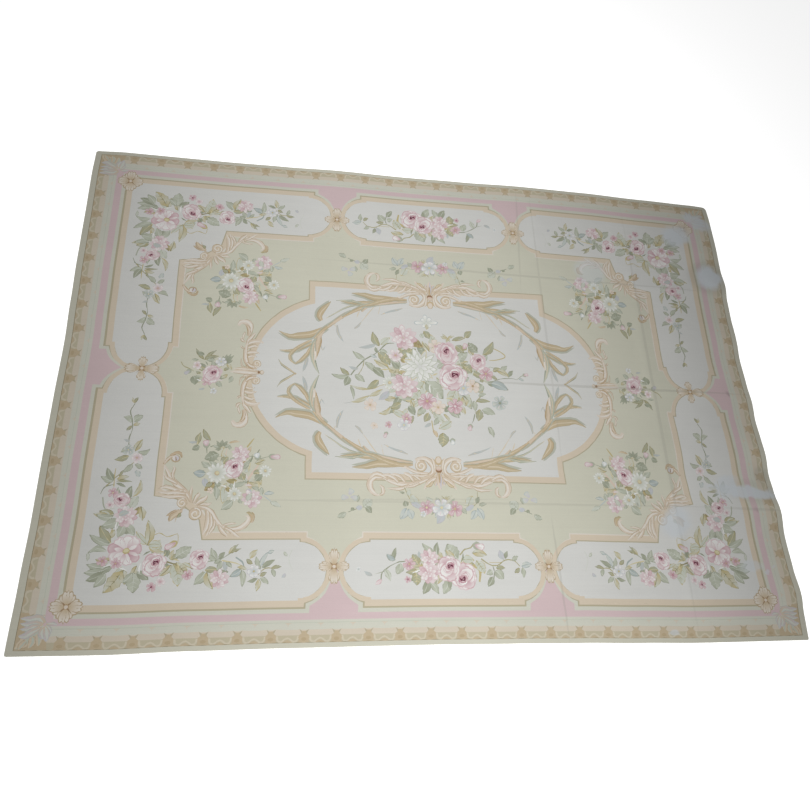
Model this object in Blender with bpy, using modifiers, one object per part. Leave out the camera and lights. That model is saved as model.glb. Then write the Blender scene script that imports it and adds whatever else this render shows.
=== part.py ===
"""Needlepoint rug: one flat wool sheet, lying on a floor with its storage creases and a rippled short side.

Metres, +Z up. The origin is on the floor under the middle of the rug's lying outline. +X runs along the
long side, +Y along the short side.
"""

import bmesh
import bpy

# Driving sizes
LONG_SIDE = 4.270
SHORT_SIDE = 3.050
CLOTH_THICKNESS = 0.0045

# Corner roundings of the hem
CORNER_RADII = {"far_left": 0.016, "far_right": 0.030, "near_left": 0.008, "near_right": 0.010}

# How far each side's hem lies outside (+) or inside (-) its nominal straight line: (place along, out)
FAR_SIDE_SWAY = (
    (-2.135, -0.015), (-1.95, -0.006), (-1.35, -0.006), (-0.95, 0.000), (-0.58, 0.010), (-0.17, 0.006),
    (0.26, 0.012), (0.69, 0.023), (1.15, 0.020), (1.61, 0.007), (2.00, -0.001), (2.135, -0.008),
)
NEAR_SIDE_SWAY = (
    (-2.135, -0.005), (-1.71, -0.003), (-1.30, -0.012), (-0.85, -0.016), (-0.10, -0.018), (0.40, -0.014),
    (0.75, -0.010), (1.10, -0.003), (1.45, 0.003), (2.135, 0.001),
)
LEFT_SIDE_SWAY = (
    (-1.525, 0.001), (-1.17, -0.006), (-0.87, -0.012), (-0.55, -0.011), (-0.21, -0.013), (0.15, -0.018),
    (0.41, -0.012), (0.69, -0.007), (1.00, -0.006), (1.35, -0.003), (1.525, -0.007),
)
RIGHT_SIDE_SWAY = (
    (-1.525, -0.018), (-1.38, -0.010), (-1.27, -0.002), (-1.12, -0.008), (-0.95, -0.012), (-0.77, -0.003),
    (-0.65, -0.013), (-0.55, -0.020), (-0.42, -0.012), (-0.30, -0.014), (-0.17, -0.021), (-0.05, -0.016),
    (0.10, -0.022), (0.25, -0.027), (0.40, -0.022), (0.55, -0.019), (0.72, -0.014), (0.84, -0.006),
    (0.95, -0.009), (1.20, -0.001), (1.40, -0.002), (1.525, -0.008),
)

# Storage creases: (start x, start y, end x, end y, rise, half width). A crease is a soft ridge that fades
# out over CREASE_FADE at both ends.
CREASE_FADE = 0.22
CREASES = (
    (-0.70, 0.806, 2.00, 0.772, 0.0035, 0.040),
    (0.25, 0.000, 2.10, -0.006, 0.0035, 0.036),
    (-1.20, -0.762, 1.75, -0.764, 0.0040, 0.045),
    (0.660, 1.50, 0.612, 0.70, 0.0030, 0.034),
    (0.655, -0.85, 0.662, -1.50, 0.0030, 0.034),
    (0.758, 1.46, 0.745, -0.55, 0.0025, 0.045),
    (1.440, 1.30, 1.432, -1.48, 0.0035, 0.055),
)

# Ripples of the right hem: (y, half length along the hem, reach into the rug, rise)
HEM_RIPPLES = (
    (0.84, 0.13, 0.20, 0.0080),
    (0.42, 0.15, 0.24, 0.0070),
    (-0.06, 0.12, 0.16, 0.0040),
    (-0.40, 0.12, 0.18, 0.0060),
    (-0.78, 0.13, 0.24, 0.0095),
    (-1.27, 0.14, 0.20, 0.0080),
)

# Broad swells of the middle: (x, y, radius along x, radius along y, rise)
SWELLS = (
    (1.08, 0.30, 0.34, 0.55, 0.0030),
    (1.05, -0.95, 0.30, 0.32, 0.0025),
    (0.30, 1.16, 0.42, 0.24, 0.0030),
    (-0.20, -1.12, 0.60, 0.22, 0.0025),
    (1.76, 0.20, 0.20, 0.60, 0.0025),
)

# Mesh density: the spacing of the plain grid lines, and the extra lines on each side of a crease
COLUMN_SPACING = 0.130
ROW_SPACING = 0.075
CREASE_LINE_STEPS = (-1.0, -0.45, 0.0, 0.45, 1.0)
MIN_SPACING = 0.010

# Finish of the whole sheet
WOOL_COLOUR = (0.66, 0.63, 0.50, 1.0)
WOOL_ROUGHNESS = 0.95


def clear_scene():
    """Remove every object of the scene."""
    for obj in list(bpy.data.objects):
        bpy.data.objects.remove(obj, do_unlink=True)


def sway_at(table, along):
    """Read a sway table at one place, joining its rows with smooth slopes."""
    if along <= table[0][0]:
        return table[0][1]
    for (start, first), (end, last) in zip(table, table[1:]):
        if along <= end:
            t = (along - start) / (end - start)
            return first + (last - first) * t * t * (3 - 2 * t)
    return table[-1][1]


def side_limits():
    """Give the lying outline's reach as (left, right, near, far)."""
    left = -LONG_SIDE / 2 - max(out for _, out in LEFT_SIDE_SWAY)
    right = LONG_SIDE / 2 + max(out for _, out in RIGHT_SIDE_SWAY)
    near = -SHORT_SIDE / 2 - max(out for _, out in NEAR_SIDE_SWAY)
    far = SHORT_SIDE / 2 + max(out for _, out in FAR_SIDE_SWAY)
    return left, right, near, far


def round_corner(x, y):
    """Draw a point of the nominal rectangle in where it is close to a rounded corner."""
    column = "left" if x < 0 else "right"
    row = "near" if y < 0 else "far"
    radius = CORNER_RADII[f"{row}_{column}"]
    over_x = abs(x) - (LONG_SIDE / 2 - radius)
    over_y = abs(y) - (SHORT_SIDE / 2 - radius)
    if over_x <= 0 or over_y <= 0:
        return x, y
    a = over_x / radius
    b = over_y / radius
    new_x = LONG_SIDE / 2 - radius + radius * a * (1 - b * b / 2) ** 0.5
    new_y = SHORT_SIDE / 2 - radius + radius * b * (1 - a * a / 2) ** 0.5
    return (new_x if x > 0 else -new_x), (new_y if y > 0 else -new_y)


def plan_place(x, y):
    """Move a point of the nominal rectangle to where the uneven rug has it on the floor."""
    x, y = round_corner(x, y)
    right_share = x / LONG_SIDE + 0.5
    far_share = y / SHORT_SIDE + 0.5
    left_out = sway_at(LEFT_SIDE_SWAY, y)
    right_out = sway_at(RIGHT_SIDE_SWAY, y)
    near_out = sway_at(NEAR_SIDE_SWAY, x)
    far_out = sway_at(FAR_SIDE_SWAY, x)
    left, right, near, far = side_limits()
    lying_x = x - left_out * (1 - right_share) + right_out * right_share - (left + right) / 2
    lying_y = y - near_out * (1 - far_share) + far_out * far_share - (near + far) / 2
    return lying_x, lying_y


def hump(t):
    """Give a smooth hump: 1 at t = 0, and exactly 0 from t = 1 outwards."""
    return (1 - t * t) ** 2 if abs(t) < 1 else 0.0


def fade(t):
    """Give a smooth step from 0 at t = 0 to 1 at t = 1."""
    t = min(max(t, 0.0), 1.0)
    return t * t * (3 - 2 * t)


def crease_lift(x, y):
    """Give the highest crease ridge at a point of the nominal rectangle."""
    lift = 0.0
    for x0, y0, x1, y1, rise, half_width in CREASES:
        length = ((x1 - x0) ** 2 + (y1 - y0) ** 2) ** 0.5
        along = ((x - x0) * (x1 - x0) + (y - y0) * (y1 - y0)) / length
        across = ((x - x0) * (y1 - y0) - (y - y0) * (x1 - x0)) / length
        ends = fade(along / CREASE_FADE) * fade((length - along) / CREASE_FADE)
        lift = max(lift, rise * hump(across / half_width) * ends)
    return lift


def lift_above_floor(x, y):
    """Give the height of the underside over the floor at a point of the nominal rectangle."""
    lift = crease_lift(x, y)
    for centre, half_length, reach, rise in HEM_RIPPLES:
        inward = (LONG_SIDE / 2 - x) / reach
        lift += rise * hump((y - centre) / half_length) * hump(inward)
    for centre_x, centre_y, radius_x, radius_y, rise in SWELLS:
        distance = (((x - centre_x) / radius_x) ** 2 + ((y - centre_y) / radius_y) ** 2) ** 0.5
        lift += rise * hump(distance)
    return lift


def grid_lines(side, spacing, creases_across):
    """Give the grid line places along one side: about evenly spaced, with more at creases and corners."""
    half = side / 2
    radius = max(CORNER_RADII.values())
    wanted = {-half, half, radius - half, half - radius, radius / 2 - half, half - radius / 2}
    for place, half_width in creases_across:
        for step in CREASE_LINE_STEPS:
            if abs(place + step * half_width) < half - radius - MIN_SPACING:
                wanted.add(place + step * half_width)
    lines = []
    for place in sorted(wanted):
        if not lines or place - lines[-1] >= MIN_SPACING:
            lines.append(place)
    filled = []
    for start, end in zip(lines, lines[1:]):
        cells = max(1, round((end - start) / spacing))
        filled.extend(start + (end - start) * i / cells for i in range(cells))
    return filled + [lines[-1]]


def crease_places(lengthwise):
    """Give (middle place, half width) of the creases that cross the short side or the long side."""
    places = []
    for x0, y0, x1, y1, _, half_width in CREASES:
        runs_along_x = abs(x1 - x0) > abs(y1 - y0)
        if runs_along_x == lengthwise:
            middle = (y0 + y1) / 2 if lengthwise else (x0 + x1) / 2
            places.append((middle, half_width))
    return places


def wool_material():
    """Make the plain wool finish of the solid."""
    material = bpy.data.materials.new("wool")
    material.use_nodes = True
    shader = material.node_tree.nodes["Principled BSDF"]
    shader.inputs["Base Color"].default_value = WOOL_COLOUR
    shader.inputs["Roughness"].default_value = WOOL_ROUGHNESS
    shader.inputs["Metallic"].default_value = 0.0
    return material


def make_rug(collection):
    """Make the rug: its underside as a grid laid on the floor, thickened upwards by a Solidify modifier."""
    columns = grid_lines(LONG_SIDE, COLUMN_SPACING, crease_places(lengthwise=False))
    rows = grid_lines(SHORT_SIDE, ROW_SPACING, crease_places(lengthwise=True))
    bm = bmesh.new()
    bmesh.ops.create_grid(bm, x_segments=len(columns) - 1, y_segments=len(rows) - 1, size=0.5)
    for vert in bm.verts:
        x = columns[round((vert.co.x + 0.5) * (len(columns) - 1))]
        y = rows[round((vert.co.y + 0.5) * (len(rows) - 1))]
        vert.co = (*plan_place(x, y), lift_above_floor(x, y))
    mesh = bpy.data.meshes.new("rug")
    bm.to_mesh(mesh)
    bm.free()
    mesh.materials.append(wool_material())
    rug = bpy.data.objects.new("rug", mesh)
    collection.objects.link(rug)
    thicken = rug.modifiers.new("cloth thickness", "SOLIDIFY")
    thicken.thickness = CLOTH_THICKNESS
    thicken.offset = 1.0
    return rug


def main():
    """Build the rug in its own collection."""
    clear_scene()
    collection = bpy.data.collections.new("needlepoint rug")
    bpy.context.scene.collection.children.link(collection)
    make_rug(collection)


main()
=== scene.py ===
"""Needlepoint rug, dressed: one wool sheet with its worked floral design, lying on a pale floor.

Metres, +Z up, in the frame of the CAD part: the origin is on the floor under the middle of the rug.
The design is worked out on the rug's nominal rectangle and then laid on the floor with the cloth's own
uneven sides, creases and ripples, which are the same ones as the part has.
"""

import logging
import math
from collections.abc import Iterator, Sequence
from contextlib import contextmanager
from dataclasses import dataclass, field
from enum import Enum
from typing import NamedTuple

import bmesh
import bpy
import numpy as np
from mathutils import Matrix, Vector
from mathutils.geometry import delaunay_2d_cdt


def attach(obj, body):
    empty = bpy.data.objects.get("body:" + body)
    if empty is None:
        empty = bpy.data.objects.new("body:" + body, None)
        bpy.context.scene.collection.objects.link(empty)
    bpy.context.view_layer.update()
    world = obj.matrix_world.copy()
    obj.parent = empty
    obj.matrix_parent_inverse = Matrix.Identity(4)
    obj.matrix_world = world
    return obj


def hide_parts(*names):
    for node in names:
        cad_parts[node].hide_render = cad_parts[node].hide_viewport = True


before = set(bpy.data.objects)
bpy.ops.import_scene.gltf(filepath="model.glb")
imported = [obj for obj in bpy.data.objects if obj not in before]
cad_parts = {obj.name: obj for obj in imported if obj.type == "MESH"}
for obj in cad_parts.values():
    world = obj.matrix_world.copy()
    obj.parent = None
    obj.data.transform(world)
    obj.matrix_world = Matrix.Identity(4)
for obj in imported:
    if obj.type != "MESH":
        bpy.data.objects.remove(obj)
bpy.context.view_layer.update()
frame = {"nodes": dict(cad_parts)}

LOG = logging.getLogger("needlepoint_rug")

Point = tuple[float, float]
Outline = list[Point]
MM = 0.001

# The mirrors along x and y of the copies in all four quarters, and of those on two sides
QUARTERS = ((1, 1), (-1, 1), (1, -1), (-1, -1))
LEFT_AND_RIGHT = ((1, 1), (-1, 1))
NEAR_AND_FAR = ((1, 1), (1, -1))

# Driving sizes of the cloth, the same as the part's
LONG_SIDE = 4.270
SHORT_SIDE = 3.050
CLOTH_THICKNESS = 0.0045
HALF_LONG = LONG_SIDE / 2
HALF_SHORT = SHORT_SIDE / 2
CORNER_RADII = {"far_left": 0.016, "far_right": 0.030, "near_left": 0.008, "near_right": 0.010}

# How far each side's hem lies outside (+) or inside (-) its nominal straight line: (place along, out)
FAR_SIDE_SWAY = (
    (-2.135, -0.015), (-1.95, -0.006), (-1.35, -0.006), (-0.95, 0.000), (-0.58, 0.010), (-0.17, 0.006),
    (0.26, 0.012), (0.69, 0.023), (1.15, 0.020), (1.61, 0.007), (2.00, -0.001), (2.135, -0.008),
)
NEAR_SIDE_SWAY = (
    (-2.135, -0.005), (-1.71, -0.003), (-1.30, -0.012), (-0.85, -0.016), (-0.10, -0.018), (0.40, -0.014),
    (0.75, -0.010), (1.10, -0.003), (1.45, 0.003), (2.135, 0.001),
)
LEFT_SIDE_SWAY = (
    (-1.525, 0.001), (-1.17, -0.006), (-0.87, -0.012), (-0.55, -0.011), (-0.21, -0.013), (0.15, -0.018),
    (0.41, -0.012), (0.69, -0.007), (1.00, -0.006), (1.35, -0.003), (1.525, -0.007),
)
RIGHT_SIDE_SWAY = (
    (-1.525, -0.018), (-1.38, -0.010), (-1.27, -0.002), (-1.12, -0.008), (-0.95, -0.012), (-0.77, -0.003),
    (-0.65, -0.013), (-0.55, -0.020), (-0.42, -0.012), (-0.30, -0.014), (-0.17, -0.021), (-0.05, -0.016),
    (0.10, -0.022), (0.25, -0.027), (0.40, -0.022), (0.55, -0.019), (0.72, -0.014), (0.84, -0.006),
    (0.95, -0.009), (1.20, -0.001), (1.40, -0.002), (1.525, -0.008),
)

# Storage creases: (start x, start y, end x, end y, rise, half width)
CREASE_FADE = 0.22
CREASES = (
    (-0.70, 0.806, 2.00, 0.772, 0.0035, 0.040),
    (0.25, 0.000, 2.10, -0.006, 0.0035, 0.036),
    (-1.20, -0.762, 1.75, -0.764, 0.0040, 0.045),
    (0.660, 1.50, 0.612, 0.70, 0.0030, 0.034),
    (0.655, -0.85, 0.662, -1.50, 0.0030, 0.034),
    (0.758, 1.46, 0.745, -0.55, 0.0025, 0.045),
    (1.440, 1.30, 1.432, -1.48, 0.0035, 0.055),
)

# Ripples of the right hem: (y, half length along the hem, reach into the rug, rise)
HEM_RIPPLES = (
    (0.84, 0.13, 0.20, 0.0080),
    (0.42, 0.15, 0.24, 0.0070),
    (-0.06, 0.12, 0.16, 0.0040),
    (-0.40, 0.12, 0.18, 0.0060),
    (-0.78, 0.13, 0.24, 0.0095),
    (-1.27, 0.14, 0.20, 0.0080),
)

# Broad swells of the middle: (x, y, radius along x, radius along y, rise)
SWELLS = (
    (1.08, 0.30, 0.34, 0.55, 0.0030),
    (1.05, -0.95, 0.30, 0.32, 0.0025),
    (0.30, 1.16, 0.42, 0.24, 0.0030),
    (-0.20, -1.12, 0.60, 0.22, 0.0025),
    (1.76, 0.20, 0.20, 0.60, 0.0025),
)


# How the cloth lies


def sway_at(table: Sequence[Point], along: float) -> float:
    """Read a sway table at one place, joining its rows with smooth slopes.

    Args:
        table: Rows of (place along the side, how far out the hem lies).
        along: The place to read.

    Returns:
        How far out the hem lies there.
    """
    if along <= table[0][0]:
        return table[0][1]
    for (start, first), (end, last) in zip(table, table[1:]):
        if along <= end:
            t = (along - start) / (end - start)
            return first + (last - first) * t * t * (3 - 2 * t)
    return table[-1][1]


def side_limits() -> tuple[float, float, float, float]:
    """Find how far the lying outline reaches.

    Returns:
        Its left, right, near and far limits.
    """
    left = -HALF_LONG - max(out for _, out in LEFT_SIDE_SWAY)
    right = HALF_LONG + max(out for _, out in RIGHT_SIDE_SWAY)
    near = -HALF_SHORT - max(out for _, out in NEAR_SIDE_SWAY)
    far = HALF_SHORT + max(out for _, out in FAR_SIDE_SWAY)
    return left, right, near, far


LIMITS = side_limits()


def round_corner(x: float, y: float) -> Point:
    """Draw a point of the nominal rectangle in where it is close to a rounded corner.

    Args:
        x: Place along the long side.
        y: Place along the short side.

    Returns:
        The place after rounding.
    """
    column = "left" if x < 0 else "right"
    row = "near" if y < 0 else "far"
    radius = CORNER_RADII[f"{row}_{column}"]
    over_x = abs(x) - (HALF_LONG - radius)
    over_y = abs(y) - (HALF_SHORT - radius)
    if over_x <= 0 or over_y <= 0:
        return x, y
    a = over_x / radius
    b = over_y / radius
    new_x = HALF_LONG - radius + radius * a * (1 - b * b / 2) ** 0.5
    new_y = HALF_SHORT - radius + radius * b * (1 - a * a / 2) ** 0.5
    return math.copysign(new_x, x), math.copysign(new_y, y)


def plan_place(x: float, y: float) -> Point:
    """Move a point of the nominal rectangle to where the uneven rug has it on the floor.

    Args:
        x: Place along the long side.
        y: Place along the short side.

    Returns:
        The place on the floor.
    """
    x, y = round_corner(x, y)
    right_share = x / LONG_SIDE + 0.5
    far_share = y / SHORT_SIDE + 0.5
    across = sway_at(RIGHT_SIDE_SWAY, y) * right_share - sway_at(LEFT_SIDE_SWAY, y) * (1 - right_share)
    along = sway_at(FAR_SIDE_SWAY, x) * far_share - sway_at(NEAR_SIDE_SWAY, x) * (1 - far_share)
    left, right, near, far = LIMITS
    return x + across - (left + right) / 2, y + along - (near + far) / 2


def hump(t: float) -> float:
    """Give a smooth hump: 1 at t = 0, and exactly 0 from t = 1 outwards."""
    return (1 - t * t) ** 2 if abs(t) < 1 else 0.0


def fade(t: float) -> float:
    """Give a smooth step from 0 at t = 0 to 1 at t = 1."""
    t = min(max(t, 0.0), 1.0)
    return t * t * (3 - 2 * t)


def crease_lift(x: float, y: float) -> float:
    """Find the highest crease ridge at a point of the nominal rectangle.

    Args:
        x: Place along the long side.
        y: Place along the short side.

    Returns:
        Its height.
    """
    lift = 0.0
    for x0, y0, x1, y1, rise, half_width in CREASES:
        length = math.hypot(x1 - x0, y1 - y0)
        along = ((x - x0) * (x1 - x0) + (y - y0) * (y1 - y0)) / length
        across = ((x - x0) * (y1 - y0) - (y - y0) * (x1 - x0)) / length
        if abs(across) < half_width:
            ends = fade(along / CREASE_FADE) * fade((length - along) / CREASE_FADE)
            lift = max(lift, rise * hump(across / half_width) * ends)
    return lift


def lift_above_floor(x: float, y: float) -> float:
    """Find how high the underside is over the floor at a point of the nominal rectangle.

    Args:
        x: Place along the long side.
        y: Place along the short side.

    Returns:
        The height.
    """
    lift = crease_lift(x, y)
    for centre, half_length, reach, rise in HEM_RIPPLES:
        lift += rise * hump((y - centre) / half_length) * hump((HALF_LONG - x) / reach)
    for centre_x, centre_y, radius_x, radius_y, rise in SWELLS:
        lift += rise * hump(math.hypot((x - centre_x) / radius_x, (y - centre_y) / radius_y))
    return lift


# Yarns and the chart of the design


class Yarn(Enum):
    """Wool colours, as display values of 0 to 255 in full light."""

    CREAM = (212, 212, 208)
    WHITE = (231, 231, 227)
    FIELD = (205, 204, 187)
    EDGE = (205, 203, 187)
    HEM_LINE = (150, 138, 112)
    BAND = (192, 184, 160)
    STAR = (193, 177, 149)
    STAR_CORE = (184, 167, 137)
    STAR_HORN = (182, 172, 148)
    CURL = (206, 197, 176)
    PEACH_BAND = (208, 198, 181)
    GREEN_BAND = (205, 205, 192)
    PINK_BAND = (208, 187, 188)
    OLIVE_LINE = (180, 172, 147)
    FRAME = (211, 198, 178)
    FRAME_LIGHT = (219, 212, 202)
    SAGE_DARK = (150, 154, 134)
    SAGE = (172, 176, 158)
    SAGE_LIGHT = (193, 197, 182)
    SAGE_PALE = (204, 207, 197)
    OLIVE_DARK = (145, 139, 106)
    OLIVE = (171, 166, 131)
    GOLD = (190, 177, 133)
    GOLD_LIGHT = (205, 196, 160)
    TAN = (196, 177, 146)
    TAN_LIGHT = (211, 198, 174)
    BROWN = (176, 151, 117)
    REED = (188, 176, 147)
    REED_EDGE = (176, 163, 136)
    REED_SHADOW = (182, 184, 170)
    BROWN_DARK = (150, 120, 92)
    OUTLINE = (184, 167, 140)
    SHELL = (217, 206, 192)
    SHELL_LIGHT = (223, 217, 207)
    SHELL_DEEP = (205, 189, 168)
    ROSE_PALE = (220, 210, 209)
    ROSE_LIGHT = (214, 196, 197)
    ROSE = (202, 171, 175)
    ROSE_DEEP = (185, 139, 149)
    MAROON = (106, 54, 70)
    PEACH = (214, 197, 181)
    CORAL = (206, 178, 162)
    BLUE = (186, 194, 193)
    BLUE_DARK = (160, 170, 166)
    LILAC = (196, 193, 198)
    GREY = (184, 186, 181)
    BUTTER = (212, 205, 170)


class Leaf(NamedTuple):
    """The yarns of one kind of leaf: its edge, its two halves and its rib."""

    edge: Yarn
    dark: Yarn
    light: Yarn
    rib: Yarn


class Tone(Enum):
    """The kinds of leaf."""

    SAGE = Leaf(Yarn.SAGE_DARK, Yarn.SAGE, Yarn.SAGE_LIGHT, Yarn.SAGE_PALE)
    DARK = Leaf(Yarn.SAGE_DARK, Yarn.SAGE_DARK, Yarn.SAGE, Yarn.SAGE_LIGHT)
    OLIVE = Leaf(Yarn.OLIVE_DARK, Yarn.OLIVE, Yarn.SAGE, Yarn.GOLD_LIGHT)
    GOLD = Leaf(Yarn.OLIVE, Yarn.GOLD, Yarn.SAGE_PALE, Yarn.OLIVE_DARK)
    BROWN = Leaf(Yarn.BROWN, Yarn.OLIVE_DARK, Yarn.GOLD, Yarn.BROWN_DARK)
    TAN = Leaf(Yarn.OUTLINE, Yarn.TAN, Yarn.TAN_LIGHT, Yarn.BROWN)
    PALE = Leaf(Yarn.SAGE, Yarn.SAGE_PALE, Yarn.SAGE_LIGHT, Yarn.SAGE)
    BLUE = Leaf(Yarn.BLUE_DARK, Yarn.BLUE, Yarn.SAGE_PALE, Yarn.BLUE_DARK)
    TEAL = Leaf(Yarn.SAGE_DARK, Yarn.BLUE_DARK, Yarn.BLUE, Yarn.SAGE_PALE)
    GREY = Leaf(Yarn.GREY, Yarn.GREY, Yarn.BLUE, Yarn.SAGE_LIGHT)
    LILAC = Leaf(Yarn.GREY, Yarn.LILAC, Yarn.BLUE, Yarn.GREY)
    FRAMED = Leaf(Yarn.GOLD, Yarn.SAGE_LIGHT, Yarn.SAGE_PALE, Yarn.OLIVE)
    PINK = Leaf(Yarn.ROSE, Yarn.ROSE_LIGHT, Yarn.ROSE_PALE, Yarn.ROSE)


SAGE, DARK, OLIVE, GOLD, BROWN, TAN, PALE, BLUE, TEAL, GREY, LILAC, FRAMED, PINK = Tone


@dataclass
class Patch:
    """One area of the design: its outline and the two yarns that it runs between.

    Attributes:
        outline: Corners on the nominal rectangle.
        first: Yarn at the start.
        last: Yarn at the end.
        start: Where the first yarn is pure.
        end: Where the last yarn is pure.
    """

    outline: np.ndarray
    first: Yarn
    last: Yarn
    start: Vector
    end: Vector


@dataclass
class Chart:
    """The design in the order in which it is laid down, later patches over earlier ones.

    Attributes:
        ground: Yarn under everything.
        patches: The areas laid so far.
        place: Where the motif now being worked goes.
    """

    ground: Yarn = Yarn.EDGE
    patches: list[Patch] = field(default_factory=list)
    place: Matrix = field(default_factory=lambda: Matrix.Identity(3))

    @contextmanager
    def at(
        self, x: float = 0.0, y: float = 0.0, turn: float = 0.0, size: float = 1.0, mirror: Point = (1, 1)
    ) -> Iterator[None]:
        """Work the motifs inside the with block at one place.

        Args:
            x: Place along the long side.
            y: Place along the short side.
            turn: Turn in degrees, anticlockwise.
            size: Scale of the motif.
            mirror: -1 where an axis is mirrored.
        """
        before = self.place
        angle = math.radians(turn)
        cos = math.cos(angle) * size
        sin = math.sin(angle) * size
        move = Matrix(((cos, -sin, x), (sin, cos, y), (0, 0, 1)))
        self.place = before @ move @ Matrix.Diagonal((mirror[0], mirror[1], 1))
        yield
        self.place = before

    def copies(self, mirrors: Sequence[Point] = QUARTERS, turns: Sequence[float] = (0,)) -> Iterator[None]:
        """Work the motifs inside a for loop once for each mirrored or turned copy.

        Args:
            mirrors: The mirrors of the copies.
            turns: Their turns about the middle of the rug, in degrees.
        """
        for turn in turns:
            for mirror in mirrors:
                with self.at(turn=turn, mirror=mirror):
                    yield

    def put(self, point: Point) -> Vector:
        """Give a motif's point on the nominal rectangle."""
        return (self.place @ Vector((point[0], point[1], 1))).to_2d()

    def fill(
        self, outline: Sequence[Point], yarn: Yarn, shade: Yarn | None = None,
        run: tuple[Point, Point] | None = None,
    ) -> None:
        """Lay one area of yarn.

        Args:
            outline: Its corners.
            yarn: Its yarn, or the first one of a shaded area.
            shade: The yarn that a shaded area runs to.
            run: Where the shading starts and ends.
        """
        start, end = run or (outline[0], outline[len(outline) // 2])
        corners = np.array(without_straight([self.put(point) for point in outline]))
        self.patches.append(Patch(corners, yarn, shade or yarn, self.put(start), self.put(end)))


# Outlines


def in_metres(route: Sequence[Point]) -> Outline:
    """Turn a route in millimetres into metres."""
    return [(x * MM, y * MM) for x, y in route]


def without_straight(ring: Sequence[Vector], slack: float = 0.0008) -> list[Vector]:
    """Leave out the corners of an outline that lie on the line between their neighbours.

    Args:
        ring: The outline's corners.
        slack: How far off that line still counts as on it.

    Returns:
        The corners that are left.
    """
    kept = [ring[0]]
    for corner, after in zip(ring[1:], [*ring[2:], ring[0]]):
        run = after - kept[-1]
        off = abs(run.cross(corner - kept[-1])) / max(run.length, 1e-9)
        if off > slack or run.dot(corner - kept[-1]) > run.length_squared:
            kept.append(corner)
    return kept


def arc(centre: Point, radius: float, start: float, end: float, steps: int = 12) -> Outline:
    """Give points on an arc.

    Args:
        centre: The arc's centre.
        radius: Its radius.
        start: First angle in degrees.
        end: Last angle in degrees.
        steps: Number of chords.

    Returns:
        The points, both ends included.
    """
    angles = [math.radians(start + (end - start) * i / steps) for i in range(steps + 1)]
    return [(centre[0] + radius * math.cos(a), centre[1] + radius * math.sin(a)) for a in angles]


def oval(
    x: float, y: float, rx: float, ry: float | None = None, turn: float = 0.0, steps: int = 10
) -> Outline:
    """Give an ellipse's outline.

    Args:
        x: Centre along x.
        y: Centre along y.
        rx: Radius along its own first axis.
        ry: Radius along its second axis, the same if not given.
        turn: Turn in degrees.
        steps: Number of corners.

    Returns:
        The outline.
    """
    ry = rx if ry is None else ry
    cos = math.cos(math.radians(turn))
    sin = math.sin(math.radians(turn))
    ring = arc((0, 0), 1.0, 0, 360 - 360 / steps, steps - 1)
    return [(x + rx * a * cos - ry * b * sin, y + rx * a * sin + ry * b * cos) for a, b in ring]


def box(x: float, y: float) -> Outline:
    """Give the outline of a rectangle about the middle, from its half sides."""
    return [(-x, -y), (x, -y), (x, y), (-x, y)]


def smooth(route: Sequence[Point], steps: int = 3) -> Outline:
    """Run a smooth curve through the points of a route.

    Args:
        route: The points.
        steps: Chords between each two points.

    Returns:
        The finer route.
    """
    if len(route) == 2:
        (x0, y0), (x1, y1) = route
        return [(x0 + (x1 - x0) * i / steps, y0 + (y1 - y0) * i / steps) for i in range(steps + 1)]
    ends = [route[0], *route, route[-1]]
    curve = []
    for a, b, c, d in zip(ends, ends[1:], ends[2:], ends[3:]):
        for i in range(steps):
            t = i / steps
            curve.append(
                tuple(
                    0.5 * (2 * b[k] + (c[k] - a[k]) * t + (2 * a[k] - 5 * b[k] + 4 * c[k] - d[k]) * t * t)
                    + 0.5 * (3 * b[k] - a[k] - 3 * c[k] + d[k]) * t**3
                    for k in (0, 1)
                )
            )
    return curve + [tuple(route[-1])]


def between(values: Sequence[float], t: float) -> float:
    """Read evenly spaced values at one place.

    Args:
        values: The values.
        t: The place, from 0 at the first value to 1 at the last.

    Returns:
        The value there.
    """
    place = t * (len(values) - 1)
    low = min(int(place), len(values) - 2)
    return values[low] + (values[low + 1] - values[low]) * (place - low)


def ribbon(route: Sequence[Point], widths: Sequence[float], steps: int = 3, shift: float = 0.0) -> Outline:
    """Outline a band of changing width along a smooth route.

    Args:
        route: Points of its middle.
        widths: Its widths at even steps from start to end, 0 for a point.
        steps: Chords between each two points.
        shift: How far the band is moved to the left of its route.

    Returns:
        The outline.
    """
    path = smooth(route, steps)
    left = []
    right = []
    for i, (x, y) in enumerate(path):
        before = path[max(i - 1, 0)]
        after = path[min(i + 1, len(path) - 1)]
        dx = after[0] - before[0]
        dy = after[1] - before[1]
        length = math.hypot(dx, dy) or 1.0
        half = between(widths, i / (len(path) - 1)) / 2
        nx = -dy / length
        ny = dx / length
        left.append((x + nx * (shift + half), y + ny * (shift + half)))
        if half > 0.0002 or 0 < i < len(path) - 1:
            right.append((x + nx * (shift - half), y + ny * (shift - half)))
    return left + right[::-1]


# Motifs


def uneven(number: float) -> float:
    """Give a fixed value from -1 to 1 that jumps about from one number to the next."""
    return math.sin(number * 12.9898) * 43758.5453 % 2 - 1


def leaf_side(width: float, bend: float, side: float, steps: int, teeth: float = 0.0) -> Outline:
    """Give one long edge of a leaf of length 1 that lies along +X.

    Args:
        width: Greatest width as a share of the length.
        bend: How far its middle bows to the left, as a share of the length.
        side: 1 for the left edge, 0 for the rib and -1 for the right edge.
        steps: Chords from base to tip.
        teeth: Depth of the notches, as a share of the width.

    Returns:
        The points between base and tip.
    """
    points = []
    for i in range(1, steps):
        t = i / steps
        belly = math.sin(math.pi * t**0.85) ** 0.85
        notch = 1 - teeth * (i % 2)
        bow = bend * 4 * t * (1 - t)
        points.append((t + teeth * 0.08 * (i % 2), bow + side * width / 2 * belly * notch))
    return points


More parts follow.
